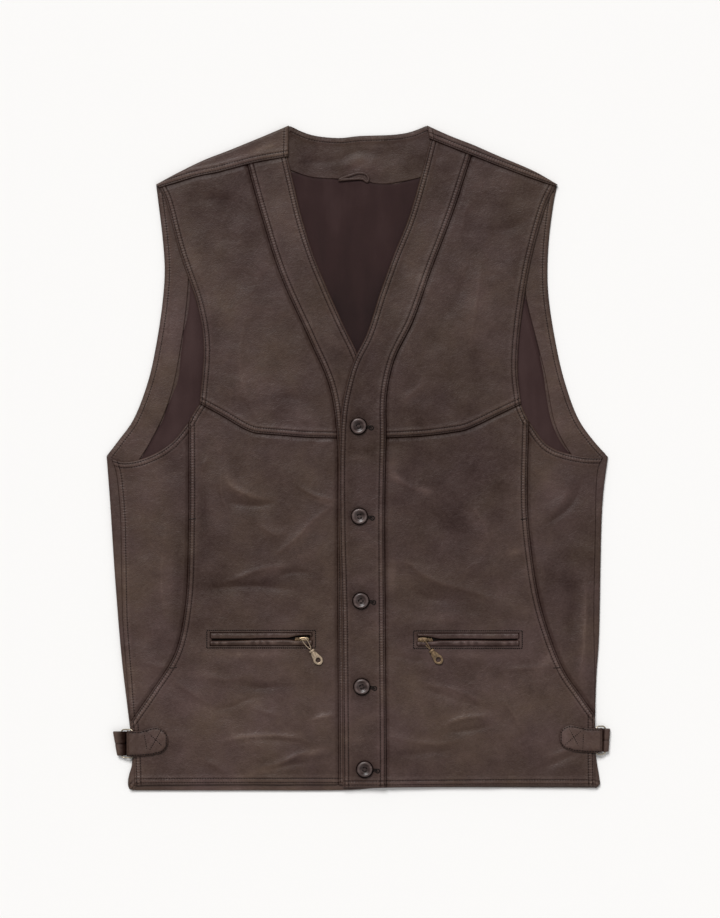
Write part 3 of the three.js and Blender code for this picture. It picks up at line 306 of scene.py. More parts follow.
# Side adjusters: distances outward from the edge of the vest
ADJUSTERS = {
    "left": {"edge": -237.5, "top": -286, "foot": -313, "hook_end": 5, "plate_end": 38.5, "crown": -281.5,
             "strap_root": 2.4, "strap_from": 6.2, "strap_to": 17.6, "ring_in": -1.9, "ring_out": 10.9,
             "lean": 2.2, "painted_shadow_to": 11.6, "round": 13, "bar": [(-12.8, -285.2), (-16.8, -307.4)],
             "cross": [(-15.5, -286), (-33.6, -302.8), (-19.1, -306.2), (-31.2, -285.2)]},
    "right": {"edge": 249, "top": -283, "foot": -309, "hook_end": 7, "plate_end": 38, "crown": -279.5,
              "strap_root": 1.5, "strap_from": 8, "strap_to": 15, "ring_in": 0.4, "ring_out": 10.6,
              "lean": 0.8, "painted_shadow_to": 9.4, "round": 11.5, "bar": [(-12.7, -282.4), (-13.4, -305)],
              "cross": [(-27.8, -283.2), (-17.1, -303.7), (-32.4, -300.6), (-13.4, -284.6)]},
}
RING = {"wire": 0.8, "corner": 3.5, "length": 31.0, "height_in": 6.7, "height_out": 3.3}
TAB = {"base": 5.6, "thick": 2.4, "arch": 9.4}
TAB_ACROSS = np.array([-1, -.985, -.96, -.925, -.88, -.8, -.6, -.3, 0, .3, .6, .8, .88, .925, .96, .985, 1])
STRAP_ROWS = np.array([-1, -.97, -.9, -.78, -.55, -.3, -.12, -.04, 0, .04, .12, .3, .55, .78, .9, .97, 1.0])
HANGER = {"left": -21.5, "right": 10, "foot": 291.5, "band": 2.8}
UP = np.array([0.0, 0.0, 1.0])


def ease(start, end, value):
    """Eases from 0 at one value to 1 at another, whichever is larger."""
    share = np.clip((value - start) / (end - start), 0, 1)
    return share * share * (3 - 2 * share)


def bell(value, middle, width):
    """A smooth bump round a value."""
    return np.exp(-((value - middle) / width) ** 2)


def turned(x, y, degrees):
    """Turns places about the middle."""
    c, s = math.cos(math.radians(degrees)), math.sin(math.radians(degrees))
    return x * c - y * s, x * s + y * c


def smooth(table, per_span=24):
    """Places along the smooth line through a short table."""
    places = np.array(table, float)
    if len(places) == 2:
        return places[0] + np.linspace(0, 1, per_span + 1)[:, None] * (places[1] - places[0])
    padded = np.vstack([2 * places[0] - places[1], places, 2 * places[-1] - places[-2]])
    share = np.linspace(0, 1, per_span, endpoint=False)[:, None]
    spans = []
    for p0, p1, p2, p3 in zip(padded, padded[1:], padded[2:], padded[3:]):
        d0, d1, d2 = (max(math.dist(a, b) ** 0.5, 1e-3) for a, b in ((p0, p1), (p1, p2), (p2, p3)))
        out = ((p1 - p0) / d0 - (p2 - p0) / (d0 + d1) + (p2 - p1) / d1) * d1
        into = ((p2 - p1) / d1 - (p3 - p1) / (d1 + d2) + (p3 - p2) / d2) * d1
        square = -3 * p1 + 3 * p2 - 2 * out - into
        cube = 2 * p1 - 2 * p2 + out + into
        spans.append(p1 + share * out + share ** 2 * square + share ** 3 * cube)
    return np.vstack(spans + [places[-1:]])


def along(places, shares):
    """Places at shares of a line's length."""
    run = np.concatenate([[0], np.cumsum(np.hypot(*np.diff(places, axis=0).T))])
    at = np.asarray(shares) * run[-1]
    return np.stack([np.interp(at, run, places[:, axis]) for axis in (0, 1)], axis=-1)


def even(places, step):
    """The same line read at even steps."""
    return along(places, np.linspace(0, 1, max(2, int(length_of(places) / step) + 1)))


def nearest(places, edge):
    """Distance of each place from an edge, and the run along the edge to the nearest point."""
    best = np.full(len(places), np.inf)
    where = np.zeros(len(places))
    run = 0.0
    for a, b in zip(edge, edge[1:]):
        line = b - a
        length = math.hypot(*line)
        share = np.clip(((places - a) @ line) / max(length * length, 1e-9), 0, 1)
        far = np.hypot(*(places - a - share[:, None] * line).T)
        closer = far < best
        best[closer] = far[closer]
        where[closer] = run + share[closer] * length
        run += length
    return best, where


def inside(places, polygon):
    """Whether each place lies inside a closed line."""
    x, y = places.T
    odd = np.zeros(len(places), bool)
    for (ax, ay), (bx, by) in zip(polygon, np.roll(polygon, -1, axis=0)):
        if ay != by:
            crosses = (ay > y) != (by > y)
            odd ^= crosses & (x < (bx - ax) * (y - ay) / (by - ay) + ax)
    return odd


def length_of(places):
    """Length of a line."""
    return np.hypot(*np.diff(places, axis=0).T).sum()


def unit_left(tangent):
    """Unit directions to the left of each tangent."""
    left = np.column_stack([-tangent[:, 1], tangent[:, 0]])
    return left / np.maximum(np.hypot(*left.T), 1e-9)[:, None]


def closed_tangent(places):
    """Direction along a closed line at each of its places."""
    return np.roll(places, -1, axis=0) - np.roll(places, 1, axis=0)


def signed_area(outline):
    """Area inside a closed line, below zero where the line runs clockwise."""
    x, y = outline.T
    return (np.dot(x, np.roll(y, -1)) - np.dot(y, np.roll(x, -1))) / 2


def offset_line(line, distance, outline):
    """The line at a distance from another one, on the side that lies inside an outline."""
    left = unit_left(np.gradient(line, axis=0))
    middle = len(line) // 2
    probe = line[middle:middle + 1] + 3 * left[middle:middle + 1]
    sign = 1 if inside(probe, outline)[0] else -1
    return line + sign * distance * left


def chain(*lines):
    """Joins lines that share their end places."""
    return np.vstack([lines[0]] + [line[1:] for line in lines[1:]])


def crease_marks(places):
    """Height of the creases over the plain surface, and how pale their crests are, from rubbed wear and
    painted highlight.
    """
    total = np.zeros(len(places))
    crest = np.zeros(len(places))
    for table, width, rise in CREASES:
        line = even(smooth(table), 2.5)
        reach = 4 * width
        low, high = line.min(axis=0) - reach, line.max(axis=0) + reach
        near = np.all((places > low) & (places < high), axis=1)
        if near.any():
            far, where = nearest(places[near], line)
            taper = np.sin(np.pi * np.clip(where / length_of(line), 0.04, 0.96)) ** 0.7
            sharp = np.hypot(far, CREASE_TIP) - CREASE_TIP
            total[near] += CREASE_RISE * rise * taper * np.exp(-sharp / (CREASE_WIDTH * width))
            if rise > 0:
                crest[near] += rise * taper * bell(far, 0, 1.3)
    return total, crest


def tone_at(places):
    """Paleness of the leather at each place: pale crests, painted shadow round the buttons, and the table of
    wear and painted light and shade.
    """
    total = CREST_WEAR_AND_HIGHLIGHT * crease_marks(places)[1]
    # Painted shadow round each button
    reach, shade = BUTTON_SHADE["reach"], BUTTON_SHADE["tone"]
    button_shadows = [(x, y, 0, reach, reach, shade) for x, y, _ in BUTTONS]
    for x, y, turn, length, width, tone in WEAR_AND_PAINTED_LIGHT + button_shadows:
        run, aside = turned(*(places - (x, y)).T, -turn)
        strength = tone if tone > 0 else DARK_SHARE * tone
        total += strength * np.exp(-(run / length) ** 2 - (aside / width) ** 2)
    return total


def ripple(places):
    """The slight unevenness of laid leather."""
    x, y = places.T
    waves = [(0.061, 0.037, 0.4), (-0.043, 0.083, 2.1), (0.118, 0.052, 4.0), (0.021, -0.142, 1.2),
             (-0.171, 0.064, 3.3), (0.09, 0.19, 5.1)]
    return sum(0.1 * np.sin(kx * x + ky * y + phase) for kx, ky, phase in waves)


def front_height(places):
    """Height of the outer face of a front, before the fronts lap."""
    x, y = places.T
    middle = ease(225, 110, np.abs(x)) * ease(270, 120, y) * ease(-345, -300, y)
    return EDGE_HEIGHT + DOME * middle


def front_detail(places):
    """Creases and unevenness of the fronts, calm beside the pockets."""
    x, y = places.T
    calm = np.ones(len(places))
    for pocket in POCKETS.values():
        beside = ease(26, 12, np.abs(y - pocket["y"])) * ease(74, 56, np.abs(x - pocket["x"]))
        calm *= 1 - beside
    return calm * (crease_marks(places)[0] + ripple(places))


def lap_rise(y):
    """How far the right front rises toward the band that lies over the left one."""
    return LAP * ease(200, 120, y)


def pocket_recess(places):
    """Depth of the pocket behind its lips."""
    x, y = places.T
    deep = np.zeros(len(places))
    for pocket in POCKETS.values():
        across = ease(7.5, 5.2, np.abs(y - pocket["y"]))
        deep += 3.2 * across * ease(52.5, 50.5, np.abs(x - pocket["x"]))
    return deep


def panel_base(side):
    """Height of a front panel before its seams."""
    def height(places):
        x, y = places.T
        lap = LAP_SHARE * lap_rise(y) * ease(80, 30, x) if side == "right" else 0
        return front_height(places) + lap + front_detail(places) - pocket_recess(places)
    return height


def band_base(side):
    """Height of a band before its seams. The left one dips beneath the right one."""
    right_edge = even(smooth(FRONT["right"]["edge"]), 3)

    def height(places):
        x, y = places.T
        if side == "right":
            return front_height(places) + lap_rise(y) + 0.6 * front_detail(places)
        cover = ease(2.5, -2.5, np.interp(y, right_edge[::-1, 1], right_edge[::-1, 0]) - x)
        return front_height(places) + 0.6 * front_detail(places) - 0.5 * cover * ease(200, 120, y)
    return height


def flat_base(height, rough=0.0):
    """An even height with a share of the leather's unevenness."""
    return lambda places: np.full(len(places), float(height)) + rough * ripple(places)


def relief(far, where, style):
    """Height and tone that a seam or an edge gives the leather at a distance from it; the tone is painted
    shade along edges and in stitch grooves, and painted highlight on the ridges and puffs beside them.
    """
    look = STYLES[style]
    line = ease(*EDGE_LINE, far)
    if style == "under":
        # Painted shadow line and painted shade beside the edge that lies over this panel
        dip = -UNDER["dip"] * ease(UNDER["reach"], 0.4, far)
        return dip, -UNDER["line"] * line - UNDER["shade"] * ease(5.0, 0.5, far)
    if style == "fold":
        inward = np.clip(far, 0, FOLD)
        drop = FOLD - np.sqrt(np.maximum(FOLD ** 2 - (FOLD - inward) ** 2, 0))
        return -drop, np.zeros(len(far))
    beside = ease(look["to"] + look["fade"], look["to"], far)
    height = look["ridge"] * beside - look["drop"] * np.clip(1 - far / look["turn"], 0, 1) ** 2
    # Painted highlight on the ridge, and painted shade along the edge (below zero, a painted highlight)
    tone = RIDGE_HIGHLIGHT * beside - look["dark"] * line
    # Each stitch row sinks into a groove with painted shade in it
    for row in look["rows"]:
        height = height - GROOVE["deep"] * bell(far, row, GROOVE["width"])
        tone = tone - GROOVE["tone"] * bell(far, row, GROOVE["tone_width"])
    if look["rows"]:
        wave = 1 + PUFF["wave"] / PUFF["height"] * np.sin(2 * np.pi * where / PUFF["pitch"])
        height = height + PUFF["height"] * wave * bell(far, PUFF["middle"], PUFF["width"])
        # Painted highlight on the puffed strip and just beyond the last row
        tone = tone + PUFF["tone"] * bell(far, PUFF["tone_middle"], PUFF["tone_width"])
        beyond = look["rows"][-1] + PUFF["beyond"]
        tone = tone + PUFF["beyond_tone"] * bell(far, beyond, PUFF["beyond_width"])
    return height, tone


class Panel:
    """A cut piece of leather or lining: its outline, its edges with their styles, and its height."""

    def __init__(self, name, sides, edges, base, step=2.0, look="leather", tint=0.0):
        self.name = name
        self.foot, self.head, self.start, self.end = (np.asarray(side, float) for side in sides)
        self.edges = [(even(np.asarray(line, float), 3.0), style) for line, style in edges]
        self.base = base
        self.step = step
        self.look = look
        self.tint = tint
        self.outline = np.vstack([
            even(self.foot, 2), even(self.end, 2)[1:], even(self.head, 2)[::-1][1:],
            even(self.start, 2)[::-1][1:-1]])

    def seam_marks(self, places):
        """How strongly the stitches pucker each place, and how far along its seam it lies."""
        pucker, run = np.zeros(len(places)), np.zeros(len(places))
        for line, style in self.edges:
            rows = STYLES[style]["rows"]
            if rows:
                far, where = nearest(places, line)
                uneven = 0.6 + 0.4 * np.sin(where / 37)
                strong = bell(far, sum(rows) / len(rows), PUCKER["reach"]) * uneven
                run = np.where(strong > pucker, where, run)
                pucker = np.maximum(strong, pucker)
        return pucker, run

    def surface(self, places):
        """Height and tone at each place."""
        height = self.base(places)
        tone = np.full(len(places), self.tint)
        if self.look == "leather":
            tone += tone_at(places)
        for line, style in self.edges:
            rise, shade = relief(*nearest(places, line), style)
            height += rise
            tone += shade
        return height, tone

    def height(self, places):
        """Height at each place."""
        return self.surface(places)[0]

    def holds(self, places, number, row):
        """Whether each place of a stitch row lies on the panel and clear of its other edges."""
        good = inside(places, self.outline)
        good &= np.abs(nearest(places, self.edges[number][0])[0] - row) < 0.35
        for other, (edge, style) in enumerate(self.edges):
            if other != number:
                good &= nearest(places, edge)[0] > (1.2 if style in ("under", "fold", "plain") else 1.6)
        return good

    def stitch(self):
        """Adds the stitch rows along each edge."""
        for number, (line, style) in enumerate(self.edges):
            for row in STYLES[style]["rows"]:
                offset = offset_line(line, row, self.outline)
                add_stitches(row_spots(offset, self.height, lambda places: self.holds(places, number, row)))

    def net(self):
        """Places of the panel's grid, fine beside its edges."""
        mean_width = (length_of(self.foot) + length_of(self.head)) / 2
        mean_height = (length_of(self.start) + length_of(self.end)) / 2
        columns = max(3, int((max(length_of(self.foot), length_of(self.head)) - 24) / self.step))
        rows = max(3, int((max(length_of(self.start), length_of(self.end)) - 24) / self.step))
        u_even = graded(np.array([mean_width]), columns)[0]
        v_even = graded(np.array([mean_height]), rows)[0]
        widths = np.hypot(*(along(self.end, v_even) - along(self.start, v_even)).T)
        heights = np.hypot(*(along(self.head, u_even) - along(self.foot, u_even)).T)
        u = graded(widths, columns)[:, :, None]
        v = graded(heights, rows).T[:, :, None]
        foot, head = along(self.foot, u[..., 0]), along(self.head, u[..., 0])
        start, end = along(self.start, v[..., 0]), along(self.end, v[..., 0])
        corners = ((1 - v) * ((1 - u) * self.foot[0] + u * self.foot[-1])
                   + v * ((1 - u) * self.head[0] + u * self.head[-1]))
        return (1 - v) * foot + v * head + (1 - u) * start + u * end - corners


def graded(widths, inner):
    """Shares across each width, fine beside its two ends."""
    widths = np.maximum(np.asarray(widths, float), 0.5)[:, None]
    squeeze = np.minimum(1, widths / (2 * EDGE_STEPS[-1] + 2))
    near = EDGE_STEPS * squeeze
    far = widths - near[:, ::-1]
    share = np.linspace(0, 1, inner + 2)[1:-1]
    middle = near[:, -1:] + share * (far[:, :1] - near[:, -1:])
    return np.hstack([near, middle, far]) / widths


def mesh_object(name, places, faces, material, slot, body="vest", smooth_faces=True):
    """Makes a mesh from places in millimetres."""
    mesh = bpy.data.meshes.new(name)
    mesh.from_pydata((np.asarray(places, float) * MM).tolist(), [], faces)
    mesh.update()
    mesh.materials.append(material)
    mesh.polygons.foreach_set("use_smooth", [smooth_faces] * len(mesh.polygons))
    obj = bpy.data.objects.new(name, mesh)
    bpy.context.scene.collection.objects.link(obj)
    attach(obj, body)
    return obj


def set_tone(obj, values, name="tone"):
    """Stores a number for each place of a mesh: its paleness, unless another name is given."""
    layer = obj.data.attributes.new(name, "FLOAT", "POINT")
    layer.data.foreach_set("value", np.asarray(values, np.float32))


def grid_faces(grid):
    """Four-sided faces of a grid of place numbers."""
    corners = [grid[:-1, :-1], grid[:-1, 1:], grid[1:, 1:], grid[1:, :-1]]
    return np.stack(corners, axis=-1).reshape(-1, 4)


def grid_border(grid):
    """Numbers of the places round a grid."""
    return np.concatenate([grid[0, :-1], grid[:-1, -1], grid[-1, :0:-1], grid[:0:-1, 0]])


def skirt_faces(loop, below):
    """Faces that join a loop of places to the one below it."""
    return np.stack([np.roll(loop, -1), loop, below, np.roll(below, -1)], axis=-1)


def flat_size(outline):
    """Width and length of the smallest rectangle that holds a cut with its allowance, and the cut's area."""
    best = None
    for turn in np.radians(np.arange(-45, 46, 3)):
        c, s = math.cos(turn), math.sin(turn)
        box = outline @ np.array([[c, -s], [s, c]])
        size = np.ptp(box, axis=0) + 2 * ALLOWANCE
        if best is None or size.prod() < best.prod():
            best = size
    area = abs(signed_area(outline)) + ALLOWANCE * length_of(outline)
    return best, max(0.3 * best.prod(), min(best.prod(), area))


def rim_rings(style, height):
    """Rings that close a panel's border: how far inward each one lies, and its height."""
    if style == "under":
        return [(-UNDER["tuck"] / 2, height - 0.25), (-UNDER["tuck"], height - 0.5), (-1.5, height - 1.0)]
    if style == "fold":
        return [(0.35, 0.35 * FOLD), (0.45 * FOLD, 0.12 * FOLD), (FOLD + 1, LOWEST)]
    if style in ("lap", "side", "joined", "plain"):
        return [(-0.02, height - 0.35), (0.15, height - 0.8), (2.5, height - 1.0)]
    return [(-0.05, height - 0.4), (0.3, height - 1.0), (6.0, height - 1.15)]


def build_panel(panel, material, slot, node):
    """Builds a panel as a sheet with a turned rim."""
    net = panel.net()
    flat_places = net.reshape(-1, 2)
    height, tone = panel.surface(flat_places)
    grid = np.arange(len(flat_places)).reshape(net.shape[:2])
    places, tones, faces = [np.column_stack([flat_places, height])], [tone], [grid_faces(grid)]
    flipped = np.cross(net[0, 1] - net[0, 0], net[1, 0] - net[0, 0]) < 0
    loop = grid_border(grid)
    border = flat_places[loop]
    inward = unit_left(closed_tangent(border)) * (-1 if flipped else 1)
    distances = np.array([nearest(border, line)[0] for line, _ in panel.edges])
    styles = [panel.edges[i][1] for i in distances.argmin(axis=0)]
    rings = np.array([rim_rings(style, z) for style, z in zip(styles, height[loop])])
    beside_corner = np.clip(np.sort(distances, axis=0)[1] / 4, 0.1, 1)
    rings[:, :, 0] *= beside_corner[:, None]
    last = loop
    for ring in range(rings.shape[1]):
        shift, z = rings[:, ring].T
        places.append(np.column_stack([border + inward * shift[:, None], np.maximum(z, LOWEST)]))
        tones.append(tone[loop] - 0.2)
        current = len(flat_places) + ring * len(loop) + np.arange(len(loop))
        faces.append(skirt_faces(last, current))
        last = current
    every = np.vstack(faces)
    if flipped:
        every = every[:, ::-1]
    obj = mesh_object(panel.name, np.vstack(places), every.tolist(), material, slot)
    set_tone(obj, np.concatenate(tones))
    for name, values in zip(("pucker", "seam_run"), panel.seam_marks(flat_places)):
        set_tone(obj, np.concatenate([values] + rings.shape[1] * [values[loop]]), name)
    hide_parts(node)
    size, area = flat_size(panel.outline)
    return obj


threads = {"places": [], "faces": []}


def add_stitches(spots, scale=1.0):
    """Adds stitches to the threads: each spot is a place and a direction, in millimetres."""
    long, wide = scale * STITCH["length"], scale * STITCH["width"]
    places = threads["places"]
    for place, direction in spots:
        across = np.cross(UP, direction)
        start = len(places)
        sunk = place - STITCH["sink"] * UP
        places.append(sunk - 0.5 * long * direction)
        for share, size in STITCH_SECTIONS:
            centre = place + share * long * direction
            for side, lift in ((1, 0), (0, 1), (-1, 0), (0, -1)):
                places.append(centre + 0.5 * size * (wide * side * across + STITCH["height"] * lift * UP))
        places.append(sunk + 0.5 * long * direction)
        for k in range(4):
            a, b = start + 1 + k, start + 1 + (k + 1) % 4
            threads["faces"] += [[start, b, a], [a, b, b + 4, a + 4], [a + 4, b + 4, start + 9]]


def everywhere(places):
    """Keeps every place."""
    return np.ones(len(places), bool)


def row_spots(line, surface, keep=everywhere, pitch=STITCH["pitch"], lift=0.06):
    """Spots of the stitches along a line that lies on a surface."""
    count = int(length_of(line) / pitch)
    if count < 2:
        return []
    shares = (np.arange(count) + 0.5) / count
    middle = along(line, shares)
    ahead = along(line, np.clip(shares + 0.15 / count, 0, 1))
    behind = along(line, np.clip(shares - 0.15 / count, 0, 1))
    z = surface(middle) + lift
    slope = surface(ahead) - surface(behind)
    spots = []
    for i in np.flatnonzero(keep(middle)):
        direction = np.append(ahead[i] - behind[i], slope[i])
        length = np.linalg.norm(direction)
        if length > 1e-6:
            spots.append((np.append(middle[i], z[i]), direction / length))
    return spots


# Looks
def tree_of(name):
    """A new material with an empty node tree and its shader."""
    material = bpy.data.materials.new(name)
    material.use_nodes = True
    tree = material.node_tree
    tree.nodes.clear()
    output = tree.nodes.new("ShaderNodeOutputMaterial")
    shader = tree.nodes.new("ShaderNodeBsdfPrincipled")
    tree.links.new(shader.outputs[0], output.inputs[0])
    return material, tree, shader


def noise(tree, scale, detail=3.0, roughness=0.55, stretch=None):
    """A noise texture in object coordinates."""
    coordinates = tree.nodes.new("ShaderNodeTexCoord")
    texture = tree.nodes.new("ShaderNodeTexNoise")
    texture.inputs["Scale"].default_value = scale
    texture.inputs["Detail"].default_value = detail
    texture.inputs["Roughness"].default_value = roughness
    if stretch:
        mapping = tree.nodes.new("ShaderNodeMapping")
        mapping.inputs["Scale"].default_value = stretch
        tree.links.new(coordinates.outputs["Object"], mapping.inputs["Vector"])
        tree.links.new(mapping.outputs["Vector"], texture.inputs["Vector"])
    else:
        tree.links.new(coordinates.outputs["Object"], texture.inputs["Vector"])
    return texture.outputs["Fac"]


def spread(tree, value, low, high, to_low, to_high):
    """Spreads a value between two others."""
    node = tree.nodes.new("ShaderNodeMapRange")
    node.inputs["From Min"].default_value = low
    node.inputs["From Max"].default_value = high
    node.inputs["To Min"].default_value = to_low
    node.inputs["To Max"].default_value = to_high
    tree.links.new(value, node.inputs["Value"])
    return node.outputs["Result"]


def reckon(tree, operation, first, second):
    """One step of arithmetic on two values, each a socket or a number."""
    node = tree.nodes.new("ShaderNodeMath")
    node.operation = operation
    for socket, value in zip(node.inputs, (first, second)):
        if isinstance(value, (int, float)):
            socket.default_value = value
        else:
            tree.links.new(value, socket)
    return node.outputs[0]


def ramp(tree, value, stops):
    """Colours along a value."""
    node = tree.nodes.new("ShaderNodeValToRGB")
    elements = node.color_ramp.elements
    while len(elements) < len(stops):
        elements.new(0.5)
    for element, (position, colour) in zip(elements, stops):
        element.position = position
        element.color = (*colour, 1)
    tree.links.new(value, node.inputs["Fac"])
    return node.outputs["Color"]


def added(tree, *values):
    """The sum of several values."""
    total = values[0]
    for value in values[1:]:
        total = reckon(tree, "ADD", total, value)
    return total


def multiplied(tree, first, second):
    """The product of two values."""
    return reckon(tree, "MULTIPLY", first, second)


def bumped(tree, shader, value, distance):
    """Gives the shader a bump from a value."""
    node = tree.nodes.new("ShaderNodeBump")
    node.inputs["Distance"].default_value = distance
    node.inputs["Strength"].default_value = 1.0
    tree.links.new(value, node.inputs["Height"])
    tree.links.new(node.outputs["Normal"], shader.inputs["Normal"])


def stored(tree, name="tone"):
    """A number stored in the mesh, which is the paleness unless another name is given."""
    node = tree.nodes.new("ShaderNodeAttribute")
    node.attribute_name = name
    return node.outputs["Fac"]


def leather_look():
    """Dark brown leather with a fine grain, paler rubbed places, and the painted light and shade of the
    stored tone.
    """
    material, tree, shader = tree_of("leather")
    broad = spread(tree, noise(tree, 8, 4, 0.6, (1.0, 0.6, 1.0)), 0.3, 0.7, -0.26, 0.26)
    patchy = spread(tree, noise(tree, 42, 5, 0.6), 0.3, 0.7, -0.22, 0.22)
    speck = spread(tree, noise(tree, 420, 3, 0.6), 0.3, 0.7, -0.16, 0.16)
    turns = multiplied(tree, stored(tree, "seam_run"), 2 * math.pi / PUCKER["pitch"])
    gather = multiplied(tree, reckon(tree, "SINE", turns, 0), stored(tree, "pucker"))
    crackle = spread(tree, noise(tree, 34, 4, 0.55), 0.46, 0.54, -1.0, 1.0)
    crackle = reckon(tree, "SUBTRACT", 1.0, reckon(tree, "ABSOLUTE", crackle, 0))
    crackle = multiplied(tree, crackle, spread(tree, noise(tree, 11, 2), 0.48, 0.62, 0.0, 1.0))
    # The stored tone and the puckers bring painted light and shade into the colour
    total = added(tree, broad, patchy, speck, stored(tree),
                  multiplied(tree, gather, PUCKER["tone"]), multiplied(tree, crackle, 0.1))
    share = spread(tree, total, -1.6, 1.6, 0.0, 1.0)
    colour = ramp(tree, share, [
        (0.0, (0.0060, 0.0026, 0.0020)), (0.25, (0.0180, 0.0086, 0.0064)),
        (0.5, (0.0420, 0.0228, 0.0170)), (0.68, (0.0700, 0.0425, 0.0335)), (1.0, (0.170, 0.122, 0.100))])
    hue = ramp(tree, noise(tree, 13, 4, 0.6), [(0.38, (1.02, 0.99, 0.88)), (0.62, (1.01, 0.95, 1.05))])
    tinted = tree.nodes.new("ShaderNodeMix")
    tinted.data_type = "RGBA"
    tinted.blend_type = "MULTIPLY"
    tinted.inputs["Factor"].default_value = 1.0
    tree.links.new(colour, tinted.inputs[6])
    tree.links.new(hue, tinted.inputs[7])
    tree.links.new(tinted.outputs[2], shader.inputs["Base Color"])
    rough = spread(tree, total, -1.5, 1.5, 0.60, 0.42)
    tree.links.new(rough, shader.inputs["Roughness"])
    tree.links.new(spread(tree, total, -1.1, 0.0, 0.02, 0.27), shader.inputs["Specular IOR Level"])
    grain = tree.nodes.new("ShaderNodeTexVoronoi")
    coordinates = tree.nodes.new("ShaderNodeTexCoord")
    grain.inputs["Scale"].default_value = 900
    grain.feature = "SMOOTH_F1"
    tree.links.new(coordinates.outputs["Object"], grain.inputs["Vector"])
    soft = spread(tree, noise(tree, 90, 4), 0.2, 0.8, 0.0, 1.5)
    fold = spread(tree, noise(tree, 30, 3, 0.5), 0.2, 0.8, 0.0, 4.5)
    height = added(tree, grain.outputs["Distance"], soft, fold,
                   multiplied(tree, gather, PUCKER["height"]), multiplied(tree, crackle, 0.45))
    bumped(tree, shader, height, 0.00022)
    return material


def lining_look():
    """Dark woven lining with a soft sheen."""
    material, tree, shader = tree_of("lining")
    broad = spread(tree, noise(tree, 14, 4), 0.3, 0.7, -0.25, 0.25)
    fold = spread(tree, noise(tree, 16, 3, 0.5, (3.0, 0.6, 1.0)), 0.3, 0.7, -0.3, 0.3)
    total = added(tree, broad, fold, stored(tree))
    share = spread(tree, total, -1.6, 1.6, 0.0, 1.0)
    colour = ramp(tree, share, [
        (0.0, (0.0040, 0.0014, 0.0014)), (0.5, (0.0270, 0.0120, 0.0115)), (1.0, (0.070, 0.040, 0.038))])
    tree.links.new(colour, shader.inputs["Base Color"])
    shader.inputs["Roughness"].default_value = 0.62
    shader.inputs["Specular IOR Level"].default_value = 0.12
    heights = []
    for stretch in ((1, 0, 0), (0, 1, 0)):
        coordinates = tree.nodes.new("ShaderNodeTexCoord")
        mapping = tree.nodes.new("ShaderNodeMapping")
        mapping.inputs["Scale"].default_value = stretch
        weave = tree.nodes.new("ShaderNodeTexWave")
        weave.bands_direction = "X" if stretch[0] else "Y"
        weave.inputs["Scale"].default_value = 420
        tree.links.new(coordinates.outputs["Object"], mapping.inputs["Vector"])
        tree.links.new(mapping.outputs["Vector"], weave.inputs["Vector"])
        heights.append(weave.outputs["Fac"])
    bumped(tree, shader, multiplied(tree, *heights), 0.00012)
    return material


def plain_look(name, colour, roughness, metallic=0.0, variation=0.25, scale=120, specular=0.5):
    """A simple finish whose colour varies a little."""
    material, tree, shader = tree_of(name)
    dark = tuple(c * (1 - variation) for c in colour)
    light = tuple(min(1.0, c * (1 + variation)) for c in colour)
    share = noise(tree, scale, 4)
    tree.links.new(ramp(tree, share, [(0.3, dark), (0.7, light)]), shader.inputs["Base Color"])
    rough = spread(tree, share, 0.3, 0.7, roughness * 1.15, roughness * 0.85)
    tree.links.new(rough, shader.inputs["Roughness"])
    shader.inputs["Metallic"].default_value = metallic
    shader.inputs["Specular IOR Level"].default_value = specular
    return material


def horn_look():
    """Polished dark horn with soft streaks."""
    material, tree, shader = tree_of("horn")
    streak = spread(tree, noise(tree, 60, 3, 0.5, (1.0, 4.0, 1.0)), 0.3, 0.7, -0.5, 0.5)
    share = spread(tree, added(tree, streak, stored(tree)), -1.5, 1.0, 0.0, 1.0)
    colour = ramp(tree, share, [(0.1, (0.002, 0.001, 0.001)), (0.5, (0.040, 0.024, 0.021)),
                                (0.75, (0.072, 0.047, 0.042)), (1.0, (0.14, 0.10, 0.09))])
    tree.links.new(colour, shader.inputs["Base Color"])
    shader.inputs["Roughness"].default_value = 0.33
    tree.links.new(spread(tree, share, 0.1, 0.6, 0.02, 0.5), shader.inputs["Specular IOR Level"])
    return material


LEATHER = leather_look()
LINING = lining_look()
THREAD = plain_look("thread", (0.0065, 0.0036, 0.0028), 0.75, scale=300, specular=0.2)
BRASS = plain_look("antique_brass", (0.36, 0.27, 0.17), 0.34, metallic=1.0, variation=0.4, scale=260)
PALE_BRASS = plain_look("pale_brass", (0.40, 0.305, 0.215), 0.42, metallic=0.55, variation=0.25, scale=300)
OLD_BRASS = plain_look("old_brass", (0.185, 0.12, 0.065), 0.45, metallic=0.5, variation=0.35, scale=300)
STEEL = plain_look("steel", (0.36, 0.31, 0.24), 0.34, metallic=1.0, variation=0.2)
TAPE_CLOTH = plain_look("zip_tape", (0.005, 0.0035, 0.003), 0.85, scale=600, specular=0.1)
HORN = horn_look()


# Fronts
NODE_OF = {"yoke": "front_yoke", "lower": "front_lower", "side": "front_side", "band": "front_band"}
SIDE_EDGE = {"left": "side", "right": "joined"}
BAND_TINT = {"left": 0.0, "right": -0.12}


def split_seam(table):
    """The band seam above and below the yoke seam."""
    seam = smooth(table["bandSeam"])
    foot = table["yokeSeam"][-1][1]
    cut = int(np.argmax(seam[:, 1] < foot))
    share = (seam[cut - 1, 1] - foot) / (seam[cut - 1, 1] - seam[cut, 1])
    joint = along(seam[cut - 1:cut + 1], [np.clip(share, 0, 1)])
    return np.vstack([seam[:cut], joint]), np.vstack([joint, seam[cut:]])


